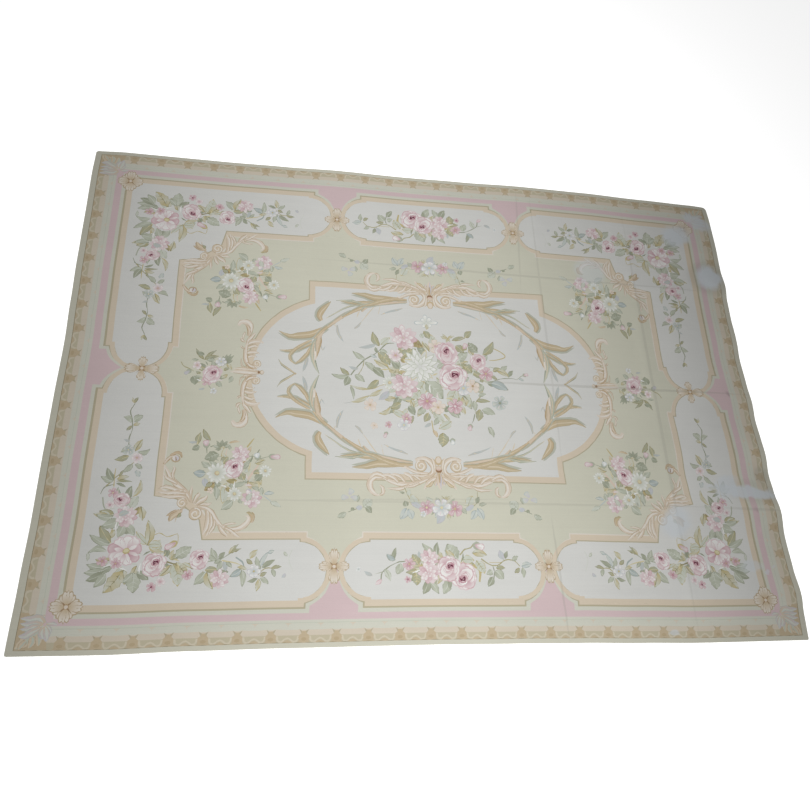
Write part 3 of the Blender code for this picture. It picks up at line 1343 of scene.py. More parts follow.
@dataclass
class Medallion:
    """The middle field's frame, the wreath of reeds inside it and the ornaments on it.

    Attributes:
        chart: The chart.
        half_x: Half width of its square part, inside the frame.
        half_y: Half height of its square part, inside the frame.
        bulge_x: Middle of each round end's circle.
        bulge: Radius of each round end, inside the frame.
        frame: Width of the frame.
        line: Width of the dark line around the frame.
    """

    chart: Chart
    half_x: float = 0.7286
    half_y: float = 0.6036
    bulge_x: float = 0.591
    bulge: float = 0.499
    frame: float = 0.0345
    line: float = 0.006

    def work(self) -> None:
        """Lay the frame, the wreath and the ornaments."""
        self.chart.fill(self.outline(self.frame + self.line), Yarn.OLIVE_LINE)
        self.chart.fill(self.outline(self.frame), Yarn.FRAME)
        self.chart.fill(self.outline(0.0), Yarn.CREAM)
        for _ in self.chart.copies():
            self.wreath()
            self.side_ornament()
        for _ in self.chart.copies(NEAR_AND_FAR):
            self.cartouche()
        for _ in self.chart.copies(LEFT_AND_RIGHT):
            self.side_bar()

    def outline(self, offset: float) -> Outline:
        """Give the medallion's outline, moved outwards.

        Args:
            offset: How far it is moved.

        Returns:
            The outline.
        """
        radius = self.bulge + offset
        side = self.half_x + offset
        lean = math.degrees(math.acos((side - self.bulge_x) / radius))
        right = [(side, -self.half_y - offset), *arc((self.bulge_x, 0), radius, -lean, lean, 40)]
        right.append((side, self.half_y + offset))
        return [*right, *[(-x, y) for x, y in reversed(right)]]

    # Reeds of the near left quarter: route, width, tint, whether it has a shadow
    REEDS = (
        (((-655, -318), (-700, -290), (-757, -262), (-830, -252), (-880, -248), (-946, -280)),
         46, "tan", 1),
        (((-157, -540), (-260, -545), (-357, -545), (-420, -562), (-505, -568)), 46, "gold", 1),
        (((-280, -522), (-380, -505), (-470, -500), (-572, -502)), 34, "tan", 1),
        (((-430, -488), (-520, -472), (-600, -420), (-672, -371)), 13, "sage", 0),
        (((-420, -492), (-500, -512), (-600, -508)), 18, "sage", 0),
        (((-688, -362), (-702, -392), (-688, -430), (-662, -464), (-632, -500)), 42, "gold", 1),
        (((-740, -205), (-800, -175), (-860, -150), (-940, -150)), 26, "gold", 1),
        (((-745, -225), (-790, -200), (-845, -160), (-876, -118), (-862, -78), (-835, -64)), 22, "tan", 1),
        (((-745, -190), (-775, -130), (-812, -85), (-850, -62)), 24, "tan", 1),
        (((-770, -105), (-782, -60), (-797, -12)), 24, "grey", 0),
        (((-836, 4), (-880, -28), (-920, -56), (-942, -92)), 15, "dark", 0),
        (((-700, -268), (-735, -200), (-742, -120), (-722, -50), (-700, -2)), 30, "sage", 0),
        (((-706, -255), (-722, -190), (-722, -130), (-728, -88)), 24, "cream", 0),
        (((-690, -250), (-702, -190), (-716, -115)), 24, "brown", 0),
        (((-690, -190), (-682, -160), (-664, -190)), 10, "grey", 0),
        (((-592, -335), (-588, -290), (-575, -255), (-552, -222)), 18, "grey", 0),
        (((-486, -318), (-462, -338), (-440, -372)), 14, "grey", 0),
        (((-180, -484), (-215, -470), (-260, -455), (-325, -425)), 15, "grey", 0),
    )
    REED_YARNS = {
        "tan": ((Yarn.TAN, Yarn.REED), Yarn.REED_EDGE),
        "gold": ((Yarn.TAN, Yarn.REED), Yarn.REED_EDGE),
        "sage": ((Yarn.SAGE, Yarn.SAGE_LIGHT), Yarn.SAGE_DARK),
        "grey": ((Yarn.GREY, Yarn.BLUE), Yarn.GREY),
        "dark": ((Yarn.TAN, Yarn.SAGE), Yarn.SAGE_DARK),
        "cream": ((Yarn.SHELL_LIGHT, Yarn.SHELL), Yarn.OUTLINE),
        "brown": ((Yarn.OUTLINE, Yarn.TAN), Yarn.BROWN),
        "peach": ((Yarn.SHELL_DEEP, Yarn.PEACH), Yarn.OUTLINE),
    }

    # Overlapping blades of the wreath's main stem: route, width, tint, and its thin side twigs
    BLADES = (
        (((-716, -150), (-712, -215), (-690, -275), (-648, -325), (-596, -366)), 26, "peach"),
        (((-730, -236), (-684, -292), (-622, -345), (-560, -392), (-500, -424)), 22, "tan"),
        (((-650, -322), (-600, -362), (-540, -412), (-470, -446), (-396, -480)), 24, "peach"),
        (((-560, -392), (-490, -440), (-420, -478), (-350, -508), (-290, -522)), 24, "tan"),
        (((-440, -440), (-400, -482), (-340, -512), (-260, -528), (-200, -532)), 22, "peach"),
        (((-150, -546), (-230, -548), (-310, -526), (-380, -496), (-448, -478)), 34, "gold"),
        (((-150, -532), (-220, -524), (-300, -508), (-360, -490)), 16, "peach"),
    )
    TWIGS = (
        ((-357, -486), (-400, -430), (-440, -372)),
        ((-448, -456), (-462, -425), (-470, -400)),
        ((-322, -498), (-330, -450), (-334, -432)),
        ((-598, -352), (-608, -338), (-592, -320)),
    )

    def wreath(self) -> None:
        """Lay the near left quarter of the wreath."""
        carver = Carver(self.chart)
        florist = Florist(self.chart)
        for twig in self.TWIGS:
            florist.stem(twig, 3.5, Yarn.TAN_LIGHT)
        for route, width, tint, shadow in self.REEDS:
            body, edge = self.REED_YARNS[tint]
            if tint == "cream":
                carver.frond(route, width, Yarn.OUTLINE, Yarn.SHELL, Yarn.SHELL_LIGHT)
            else:
                carver.reed(route, width, body, edge, bool(shadow))
        for route, width, tint in self.BLADES:
            body, edge = self.REED_YARNS[tint]
            carver.reed(route, width, body, edge)

    # Fronds of the ornament on the left side, its near half: route from root to tip, width
    SIDE_FRONDS = (
        (((-1139, -262), (-1148, -238), (-1150, -212)), 12),
        (((-1138, -196), (-1156, -206), (-1162, -230)), 13),
        (((-1136, -150), (-1154, -158), (-1164, -172)), 9),
        (((-1128, -196), (-1108, -222), (-1078, -262)), 20),
        (((-1130, -176), (-1104, -196), (-1062, -204), (-1026, -190)), 24),
        (((-1132, -150), (-1108, -164), (-1080, -172), (-1058, -164)), 17),
        (((-1134, -118), (-1112, -128), (-1084, -132), (-1050, -120)), 19),
        (((-1132, -90), (-1112, -100), (-1088, -106), (-1066, -98)), 15),
    )

    def side_ornament(self) -> None:
        """Lay the near half of the left side's ornament."""
        carver = Carver(self.chart)
        hook = ((-1120, -236), (-1110, -275), (-1112, -310), (-1136, -330), (-1168, -326), (-1180, -304))
        carver.frond(hook, 30, tip=0.45)
        inner = ((-1118, -240), (-1118, -272), (-1126, -298), (-1144, -312))
        carver.frond(inner, 16, Yarn.BROWN, Yarn.TAN, Yarn.SHELL)
        for route, width in self.SIDE_FRONDS:
            carver.frond(route, width)
        spine = ((-1062, -22), (-1104, -36), (-1126, -70), (-1134, -116), (-1130, -170), (-1117, -232))
        carver.frond(spine, 21, Yarn.BROWN, Yarn.SHELL, Yarn.SHELL_LIGHT, 0.3)
        curl = ((-1122, -62), (-1106, -44), (-1082, -34), (-1058, -32))
        carver.frond(curl, 16, Yarn.BROWN)
        carver.volute(-1064, -54, 25, 120, -1)

    def side_bar(self) -> None:
        """Lay the level bar and the bead in the middle of the left side's ornament."""
        carver = Carver(self.chart)
        for side in (1, -1):
            carver.frond(((-1062, 4 * side), (-1110, 14 * side), (-1160, 46 * side)), 13)
            carver.frond(((-1136, 30 * side), (-1150, 46 * side), (-1156, 92 * side)), 8)
        carver.frond(((-1046, 0), (-1100, -2), (-1160, 2), (-1214, -2)), 26, Yarn.OUTLINE, root=0.7)
        carver.frond(((-1060, 8), (-1110, 18), (-1170, 20), (-1206, 14)), 13, Yarn.TAN)
        self.chart.fill(oval(-1.034, 0, 0.014, steps=9), Yarn.OUTLINE)
        self.chart.fill(oval(-1.032, 0.001, 0.010, steps=9), Yarn.SHELL)
        self.chart.fill(oval(-1.051, 0, 0.008, 0.009, steps=8), Yarn.BROWN_DARK)

    # Fronds of the near cartouche, its left half: route from root to tip, width
    CARTOUCHE_FRONDS = (
        (((-60, -622), (-120, -650), (-180, -664), (-243, -660), (-300, -640), (-340, -622)), 26),
        (((-330, -626), (-372, -622), (-402, -648), (-404, -690), (-380, -722), (-350, -732)), 28),
        (((-352, -728), (-332, -716), (-334, -684), (-352, -668)), 17),
        (((-300, -636), (-340, -608), (-378, -606), (-412, -640)), 20),
        (((-240, -655), (-262, -628), (-300, -610), (-334, -612)), 20),
        (((-200, -656), (-222, -624), (-258, -606), (-296, -612)), 18),
        (((-150, -650), (-172, -614), (-196, -602), (-206, -590)), 19),
        (((-110, -640), (-140, -612), (-170, -606)), 17),
        (((-180, -664), (-220, -686), (-262, -690), (-312, -688)), 17),
        (((-120, -654), (-160, -672), (-200, -680)), 14),
        (((-60, -604), (-110, -612), (-160, -606)), 15),
        (((-60, -596), (-100, -596), (-150, -584), (-198, -560), (-214, -572)), 16),
        (((-22, -618), (-52, -640), (-74, -662), (-98, -690)), 26),
    )

    def cartouche(self) -> None:
        """Lay the ornament on the near long side of the medallion."""
        carver = Carver(self.chart)
        chart = self.chart
        for _ in chart.copies(LEFT_AND_RIGHT):
            for route, width in self.CARTOUCHE_FRONDS:
                carver.frond(route, width)
            leaf = ((-40, -640), (-56, -664), (-84, -676))
            carver.frond(leaf, 15, Yarn.BROWN, Yarn.GOLD, Yarn.TAN_LIGHT)
            scroll = ((-60, -612), (-34, -590), (-34, -550), (-60, -518), (-98, -506), (-136, -520))
            carver.frond(scroll, 26, root=0.9, tip=0.5)
            carver.volute(-104, -552, 36, 100)
            carver.frond(((-24, -600), (-22, -560), (-30, -520), (-44, -496)), 15)
        for route, width in (
            (((0, -600), (-14, -640), (-30, -672)), 22),
            (((0, -600), (14, -640), (30, -672)), 22),
            (((0, -590), (0, -640), (0, -694)), 30),
        ):
            carver.frond(route, width, Yarn.OUTLINE, Yarn.SHELL, Yarn.LILAC)
        spike = ribbon([(0, -0.592), (0, -0.625), (0, -0.655)], (0.014, 0.012, 0.0))
        chart.fill(spike, Yarn.TAN, Yarn.BROWN)
        chart.fill(oval(0, -0.520, 0.022, 0.028, steps=12), Yarn.TAN)
        chart.fill(oval(0, -0.515, 0.014, 0.020, steps=10), Yarn.SHELL)
        chart.fill(oval(0, -0.572, 0.024, 0.022, steps=12), Yarn.SHELL_DEEP)
        chart.fill(oval(0, -0.576, 0.018, 0.016, steps=12), Yarn.BROWN_DARK)
        bead = oval(0, -0.569, 0.014, 0.012, steps=10)
        chart.fill(bead, Yarn.CORAL, Yarn.SHELL, ((0, -0.58), (0, -0.56)))


@dataclass
class CornerScrolls:
    """The acanthus ornaments on the inner corners of the L panels.

    Attributes:
        chart: The chart.
    """

    chart: Chart

    # Fronds of the near left ornament: route from root to tip, width
    FRONDS = (
        (((-1361, -778), (-1372, -742), (-1368, -712), (-1366, -684)), 15),
        (((-1352, -782), (-1340, -750), (-1330, -736), (-1322, -720)), 18),
        (((-1340, -790), (-1316, -768), (-1296, -756), (-1282, -736)), 22),
        (((-1330, -800), (-1300, -786), (-1276, -788), (-1258, -776)), 16),
        (((-1366, -770), (-1392, -722), (-1430, -690), (-1462, -660), (-1496, -606), (-1520, -560)), 25),
        (((-1462, -655), (-1470, -620), (-1462, -592), (-1470, -572)), 14),
        (((-1440, -676), (-1462, -660), (-1500, -640), (-1516, -610)), 17),
        (((-1404, -712), (-1452, -704), (-1500, -690), (-1536, -700)), 19),
        (((-1392, -728), (-1440, -722), (-1490, -724), (-1545, -716)), 21),
        (((-1388, -748), (-1430, -742), (-1480, -744), (-1532, -738)), 19),
        (((-1325, -800), (-1288, -808), (-1258, -830), (-1234, -868), (-1200, -904), (-1160, -918)), 24),
        (((-1180, -912), (-1140, -922), (-1096, -912), (-1066, -884), (-1060, -858), (-1082, -846)), 24),
        (((-1282, -818), (-1270, -860), (-1274, -910), (-1292, -952)), 24),
        (((-1262, -836), (-1252, -880), (-1256, -920), (-1278, -964)), 19),
        (((-1238, -868), (-1236, -900), (-1250, -930), (-1262, -950)), 15),
        (((-1214, -896), (-1196, -926), (-1178, -944), (-1160, -962)), 19),
        (((-1184, -912), (-1150, -930), (-1124, -950), (-1100, -966)), 17),
        (((-1196, -902), (-1160, -892), (-1120, -890)), 12),
    )

    def work(self) -> None:
        """Lay the ornament in each of the four corners."""
        for _ in self.chart.copies():
            self.ornament()

    def ornament(self) -> None:
        """Lay the near left ornament."""
        carver = Carver(self.chart)
        knob = ((-1519, -566), (-1502, -536), (-1478, -520), (-1452, -514))
        carver.frond(knob, 16, Yarn.BROWN, Yarn.TAN, Yarn.SHELL)
        hood = ((-1490, -514), (-1466, -500), (-1438, -504), (-1430, -530))
        carver.frond(hood, 14, Yarn.BROWN, Yarn.OUTLINE, Yarn.TAN)
        self.chart.fill(oval(-1.460, -0.534, 0.024, 0.022, steps=12), Yarn.OUTLINE)
        self.chart.fill(oval(-1.462, -0.531, 0.019, 0.017, steps=10), Yarn.LILAC, Yarn.SHELL_LIGHT)
        self.chart.fill(ribbon([(-1.462, -0.522), (-1.458, -0.545)], (0.002, 0.007), 2), Yarn.BROWN_DARK)
        cap = ((-1046, -886), (-1040, -860), (-1052, -838), (-1076, -830))
        carver.frond(cap, 20, Yarn.BROWN, Yarn.OLIVE, Yarn.TAN)
        for route, width in self.FRONDS:
            carver.frond(route, width)
        stalk = ((-1388, -806), (-1410, -812), (-1420, -830), (-1432, -852), (-1436, -884))
        carver.frond(stalk, 7, Yarn.OUTLINE, Yarn.TAN, Yarn.TAN_LIGHT)
        for route, width in (
            (((-1404, -822), (-1440, -830), (-1486, -848)), 20),
            (((-1424, -832), (-1452, -850), (-1468, -880)), 24),
        ):
            carver.frond(route, width, Yarn.BROWN, Yarn.OUTLINE, Yarn.TAN_LIGHT)
        Florist(self.chart).leaf((-1412, -832), (-1428, -862), 15, OLIVE)
        carver.volute(-1411, -779, 27, 60)
        carver.volute(-1338, -838, 35, 100, -1)


# The flowers. Their tables are in millimetres. A leaf's row is: base x, base y, tip x, tip y, width, tone,
# then its bend and the depth of its teeth where they differ from a plain leaf's.

PINK_PETALS = (Yarn.ROSE, Yarn.ROSE_DEEP, Yarn.ROSE_LIGHT)
BLUSH_PETALS = (Yarn.ROSE_LIGHT, Yarn.ROSE, Yarn.WHITE)
ICE_PETALS = (Yarn.LILAC, Yarn.BLUE, Yarn.WHITE)
BLUE_PETALS = (Yarn.BLUE, Yarn.BLUE_DARK, Yarn.SAGE_PALE)
BED = (FRAMED, OLIVE, GOLD, SAGE, FRAMED, DARK, GOLD)
GLINTS = (Yarn.GOLD_LIGHT, Yarn.SAGE_PALE, Yarn.ROSE_PALE, Yarn.SAGE_DARK, Yarn.WHITE)
PEACH_PETALS = (Yarn.PEACH, Yarn.PEACH, Yarn.SHELL_LIGHT)
ROSE_BUD = (Yarn.ROSE, Yarn.ROSE_PALE)


@dataclass
class Bouquet:
    """Flowers and leaves that are worked in several mirrored or turned copies.

    Attributes:
        chart: The chart.
    """

    chart: Chart

    # Mirrors and turns of the copies, and the stems with their routes, widths and yarns
    MIRRORS = ((1, 1),)
    TURNS = (0,)
    STEMS = ()

    @property
    def florist(self) -> Florist:
        """Give the florist who works in this chart."""
        return Florist(self.chart)

    def work(self) -> None:
        """Lay each copy, its stems first."""
        for _ in self.chart.copies(self.MIRRORS, self.TURNS):
            for route, width, yarn in self.STEMS:
                self.florist.stem(route, width, yarn)
            self.arrange()

    def arrange(self) -> None:
        """Lay the leaves and flowers of one copy."""
        raise NotImplementedError


class CornerGarlands(Bouquet):
    """The L-shaped garlands in the four corner panels, each a mirrored copy of the near left one."""

    MIRRORS = QUARTERS
    STEMS = (
        (((-1744, -980), (-1742, -930), (-1740, -880)), 8, Yarn.GOLD),
        (((-1760, -690), (-1764, -640), (-1762, -590)), 6, Yarn.GOLD),
        (((-1764, -680), (-1806, -694), (-1822, -732)), 5, Yarn.SAGE_DARK),
        (((-1810, -748), (-1796, -800), (-1762, -836)), 6, Yarn.SAGE),
        (((-1800, -690), (-1756, -640), (-1700, -585), (-1672, -550)), 6, Yarn.OLIVE),
        (((-1708, -480), (-1716, -420), (-1706, -370), (-1712, -310), (-1728, -262), (-1708, -215)),
         5, Yarn.SAGE_DARK),
        (((-1557, -969), (-1510, -938), (-1463, -958), (-1416, -944), (-1409, -985)), 5, Yarn.GOLD),
        (((-1466, -1084), (-1420, -1098), (-1395, -1094)), 7, Yarn.OLIVE_DARK),
        (((-1250, -1088), (-1190, -1078), (-1130, -1040)), 6, Yarn.SAGE),
        (((-1180, -1084), (-1110, -1098), (-1060, -1120)), 6, Yarn.GOLD_LIGHT),
        (((-1112, -1068), (-1078, -1092), (-1066, -1124)), 7, Yarn.BLUE_DARK),
        (((-992, -1160), (-960, -1128), (-905, -1126)), 5, Yarn.OLIVE),
        (((-824, -1034), (-838, -1080), (-812, -1150)), 3, Yarn.SAGE_PALE),
    )
    LEAVES = (
        (-1765, -662, -1832, -636, 26, SAGE), (-1765, -658, -1806, -588, 28, DARK),
        (-1752, -650, -1688, -636, 18, GOLD), (-1752, -662, -1672, -664, 12, OLIVE),
        (-1752, -672, -1700, -694, 12, DARK), (-1740, -640, -1716, -596, 12, OLIVE),
        (-1700, -760, -1738, -690, 20, SAGE, 0.2), (-1682, -766, -1672, -684, 30, DARK),
        (-1664, -748, -1630, -650, 22, GOLD, -0.16), (-1668, -806, -1632, -742, 38, PALE),
        (-1622, -796, -1668, -838, 24, BROWN, 0.22), (-1616, -796, -1600, -872, 30, GOLD),
        (-1742, -852, -1830, -842, 30, SAGE, 0.1), (-1706, -866, -1798, -902, 44, SAGE, 0.05, 0.12),
        (-1690, -886, -1708, -960, 40, SAGE, 0.05, 0.12), (-1678, -892, -1628, -950, 32, SAGE),
        (-1736, -988, -1804, -896, 38, OLIVE, 0.05, 0.12), (-1738, -996, -1848, -944, 30, SAGE),
        (-1748, -1030, -1842, -1040, 26, SAGE, -0.2), (-1840, -1036, -1836, -1080, 16, PALE),
        (-1745, -1110, -1838, -1096, 32, SAGE), (-1748, -1122, -1846, -1136, 32, SAGE),
        (-1745, -1132, -1830, -1176, 34, DARK), (-1740, -1136, -1788, -1208, 36, SAGE),
        (-1662, -1124, -1742, -1236, 62, GOLD, 0.05, 0.2),
        (-1660, -1120, -1644, -1196, 36, GOLD, 0.0, 0.2),
        (-1606, -1136, -1600, -1240, 62, SAGE, 0.0, 0.16), (-1612, -1138, -1654, -1188, 30, SAGE),
        (-1594, -1136, -1532, -1176, 36, DARK), (-1560, -1002, -1572, -868, 42, GOLD, -0.1, 0.14),
        (-1562, -996, -1622, -926, 30, FRAMED), (-1556, -1000, -1486, -1006, 32, FRAMED, 0.12),
        (-1552, -1008, -1462, -1040, 20, GOLD, -0.1), (-1468, -1018, -1452, -1064, 24, DARK),
        (-1438, -1076, -1424, -1026, 20, GOLD), (-1416, -1066, -1338, -1012, 52, SAGE, 0.0, 0.16),
        (-1420, -1098, -1388, -1214, 58, FRAMED, 0.08, 0.14),
        (-1410, -1100, -1346, -1158, 46, GOLD, 0.05, 0.16),
        (-1430, -1104, -1482, -1158, 28, GOLD), (-1256, -1140, -1312, -1206, 36, SAGE),
        (-1250, -1138, -1216, -1230, 44, GOLD, -0.05, 0.12), (-1262, -1132, -1194, -1134, 28, OLIVE),
        (-1204, -1078, -1240, -1018, 26, SAGE), (-1206, -1082, -1258, -1052, 20, SAGE),
        (-1196, -1078, -1166, -1040, 20, DARK), (-1144, -1050, -1102, -1000, 16, OLIVE),
        (-1140, -1046, -1086, -1024, 14, OLIVE), (-1148, -1050, -1120, -1008, 12, GOLD),
        (-1182, -1086, -1202, -1136, 22, SAGE), (-1172, -1088, -1156, -1140, 22, GREY),
        (-1160, -1092, -1128, -1122, 16, SAGE), (-1076, -1130, -1136, -1168, 28, TEAL),
        (-1074, -1132, -1072, -1220, 26, SAGE), (-1100, -1118, -1050, -1132, 16, GOLD),
        (-980, -1132, -1008, -1064, 22, SAGE), (-976, -1126, -908, -1084, 22, DARK),
        (-984, -1120, -946, -1042, 20, BLUE), (-930, -1128, -872, -1120, 16, OLIVE),
        (-924, -1130, -908, -1174, 18, SAGE), (-984, -1168, -948, -1150, 18, OLIVE),
        (-982, -1176, -938, -1208, 22, SAGE), (-988, -1180, -1000, -1244, 22, GOLD),
        (-994, -1178, -1048, -1194, 16, DARK), (-1042, -1078, -1002, -1030, 24, GOLD),
        (-1024, -1104, -1056, -1076, 18, OLIVE), (-948, -1050, -916, -1036, 16, BLUE),
        (-846, -1064, -866, -1040, 14, PALE), (-852, -1156, -874, -1176, 16, LILAC),
        (-1676, -494, -1644, -424, 30, GOLD), (-1662, -496, -1600, -478, 22, SAGE, -0.25),
        (-1702, -520, -1776, -544, 26, OLIVE), (-1708, -436, -1742, -426, 12, GREY),
        (-1680, -566, -1724, -612, 24, SAGE), (-1668, -566, -1628, -594, 20, SAGE),
        (-1660, -600, -1640, -640, 22, BLUE), (-1716, -466, -1748, -500, 22, SAGE),
        (-1712, -345, -1738, -376, 16, OLIVE), (-1704, -345, -1668, -334, 16, GOLD),
        (-1714, -330, -1762, -296, 26, SAGE, -0.2), (-1704, -326, -1658, -284, 34, SAGE, 0.1, 0.12),
        (-1712, -214, -1694, -176, 14, OLIVE), (-1712, -214, -1726, -178, 12, GOLD),
    )

    def arrange(self) -> None:
        """Lay the near left garland."""
        florist = self.florist
        florist.foliage(-1575, -1080, 175, 55, 14, 70, BED)
        florist.foliage(-1722, -860, 50, 120, 10, 62, BED)
        florist.foliage(-1250, -1120, 110, 34, 8, 46, BED)
        florist.leaves(self.LEAVES)
        florist.strokes(-1560, -1085, 190, 60, 16, 42, GLINTS)
        florist.strokes(-1716, -820, 50, 110, 8, 36, GLINTS)
        for flower in (
            (-1711, -485, 30, BLUE_PETALS, 5, 20), (-1662, -530, 30, BLUSH_PETALS, 5, 50, Yarn.TAN),
            (-1761, -724, 28, PINK_PETALS, 5, 10), (-1769, -789, 23, BLUSH_PETALS, 5, 40, Yarn.ROSE_DEEP),
        ):
            florist.blossom(*flower)
        florist.rose(-1714, -762, 42, 140)
        florist.peony(-1684, -851, 58, 25)
        florist.leaf((-1720, -842), (-1668, -826), 26, GREY)
        self.great_flower()
        florist.blossom(-1765, -1078, 27, PINK_PETALS, 5, 0, Yarn.TAN)
        florist.blossom(-1699, -1090, 27, PINK_PETALS, 5, 30, Yarn.TAN)
        florist.rose(-1516, -1098, 62, 20, pale=True)
        florist.bud((-1412, -986), (-1472, -1020), 32, ROSE_BUD, Yarn.GOLD)
        florist.blossom(-1345, -1156, 27, PINK_PETALS, 6, 12, Yarn.ROSE_DEEP)
        florist.rose(-1296, -1076, 53, 30, pale=True)
        florist.peony(-1188, -1178, 50, 10)
        for flower in (
            (-1516, -1211, 25, PINK_PETALS, 5, 20, Yarn.MAROON),
            (-1475, -1186, 24, BLUSH_PETALS, 5, 50, Yarn.ROSE),
            (-1015, -1142, 34, ICE_PETALS, 6, 0, Yarn.GOLD),
        ):
            florist.blossom(*flower)

    def great_flower(self) -> None:
        """Lay the large open flower at the garland's bend."""
        florist = self.florist
        with self.chart.at(-1.659, -1.028, 8, 0.086):
            pale = (Yarn.ROSE_LIGHT, Yarn.ROSE_PALE, Yarn.WHITE)
            florist.ring(9, 1.0, 0.60, (PINK_PETALS, BLUSH_PETALS, pale, pale))
            florist.ring(8, 0.80, 0.26, (pale, BLUSH_PETALS), 20, 0.6)
            self.chart.fill(oval(0.02, 0, 0.21, 0.18, steps=9), Yarn.GOLD)
            self.chart.fill(oval(0.02, 0.02, 0.15, 0.12, steps=8), Yarn.BUTTER)


class FieldBouquets(Bouquet):
    """The bouquets in the field's corners, each a mirrored copy of the near left one."""

    MIRRORS = QUARTERS
    STEMS = (
        (((-1285, -462), (-1262, -452)), 5, Yarn.SAGE_DARK),
        (((-1306, -464), (-1300, -500)), 6, Yarn.SAGE_DARK),
        (((-1202, -528), (-1196, -470)), 5, Yarn.PEACH),
        (((-1216, -540), (-1222, -500), (-1212, -466)), 4, Yarn.GOLD),
        (((-1096, -524), (-1074, -515), (-1046, -515)), 4, Yarn.SAGE_DARK),
        (((-1090, -462), (-1074, -436), (-1054, -410)), 8, Yarn.GOLD),
        (((-1036, -556), (-1022, -532), (-998, -522), (-966, -514)), 5, Yarn.SAGE_DARK),
        (((-1078, -656), (-1052, -610), (-1020, -566)), 12, Yarn.PEACH),
        (((-1000, -732), (-966, -756), (-940, -778)), 4, Yarn.BLUE),
        (((-1118, -560), (-1090, -542)), 9, Yarn.BROWN),
        (((-1236, -540), (-1256, -530), (-1236, -518), (-1214, -522)), 4, Yarn.SAGE),
    )
    LEAVES = (
        (-1305, -642, -1300, -690, 28, LILAC), (-1236, -502, -1312, -534, 50, DARK, 0.0, 0.14),
        (-1222, -466, -1276, -452, 15, SAGE), (-1222, -466, -1256, -426, 16, DARK),
        (-1220, -464, -1226, -418, 16, DARK), (-1216, -464, -1196, -426, 16, DARK),
        (-1212, -466, -1180, -450, 15, SAGE), (-1226, -470, -1262, -478, 14, DARK),
        (-1276, -576, -1326, -550, 28, SAGE), (-1298, -615, -1366, -611, 36, TEAL),
        (-1250, -664, -1302, -712, 30, BROWN), (-1262, -662, -1298, -692, 22, OLIVE),
        (-1242, -686, -1236, -764, 28, SAGE), (-1200, -684, -1204, -782, 38, FRAMED, 0.08),
        (-1186, -688, -1176, -720, 20, BROWN), (-1150, -766, -1208, -816, 38, SAGE, 0.0, 0.1),
        (-1118, -756, -1104, -784, 22, SAGE), (-1132, -652, -1192, -655, 22, BROWN),
        (-1096, -652, -1112, -604, 36, OLIVE), (-1080, -660, -1176, -684, 22, SAGE),
        (-1078, -660, -1000, -680, 40, GOLD, 0.05, 0.16), (-1076, -664, -1056, -704, 20, TAN),
        (-1036, -656, -1000, -612, 36, DARK, 0.0, 0.12), (-1000, -734, -1000, -690, 26, SAGE),
        (-988, -730, -930, -724, 18, BLUE), (-954, -774, -894, -802, 22, PALE),
        (-1080, -502, -1064, -456, 15, TAN), (-1190, -438, -1128, -431, 12, TAN),
        (-1214, -560, -1184, -518, 36, OLIVE), (-1100, -590, -1070, -556, 18, SAGE),
        (-1094, -606, -1060, -590, 16, PALE), (-1356, -452, -1344, -378, 26, OLIVE),
        (-1358, -436, -1406, -435, 12, GREY), (-1344, -456, -1384, -480, 28, DARK),
        (-1288, -426, -1332, -358, 24, OLIVE, 0.08), (-1172, -552, -1150, -520, 20, SAGE),
        (-1072, -530, -1056, -546, 14, SAGE), (-1166, -672, -1146, -700, 22, SAGE),
        (-1060, -700, -1080, -730, 26, LILAC), (-1188, -452, -1178, -480, 14, SAGE),
    )

    def arrange(self) -> None:
        """Lay the near left bouquet."""
        florist = self.florist
        florist.foliage(-1130, -620, 120, 110, 18, 54, BED)
        florist.leaves(self.LEAVES)
        florist.strokes(-1130, -620, 130, 120, 16, 40, GLINTS)
        florist.blossom(-1270, -710, 18, PEACH_PETALS, 5, 0, Yarn.SAGE_DARK)
        florist.peony(-1122, -504, 50, 15)
        florist.rose(-1154, -583, 56, 25, pale=True)
        florist.daisy(-1240, -613, 58)
        florist.peony(-1052, -757, 54, 40)
        florist.leaf((-1076, -770), (-1050, -722), 24, PALE)
        florist.daisy(-1143, -728, 40, 10, 11)
        florist.daisy(-982, -597, 36, 20, 11)
        florist.bud((-966, -514), (-902, -517), 32, ROSE_BUD)
        florist.bud((-1022, -532), (-1036, -494), 34, (Yarn.BLUE, Yarn.WHITE))
        florist.stem(((-1030, -494), (-1020, -474)), 6)
        florist.bud((-1304, -466), (-1314, -424), 34, ROSE_BUD)
        florist.leaf((-1216, -474), (-1222, -456), 22, GOLD)


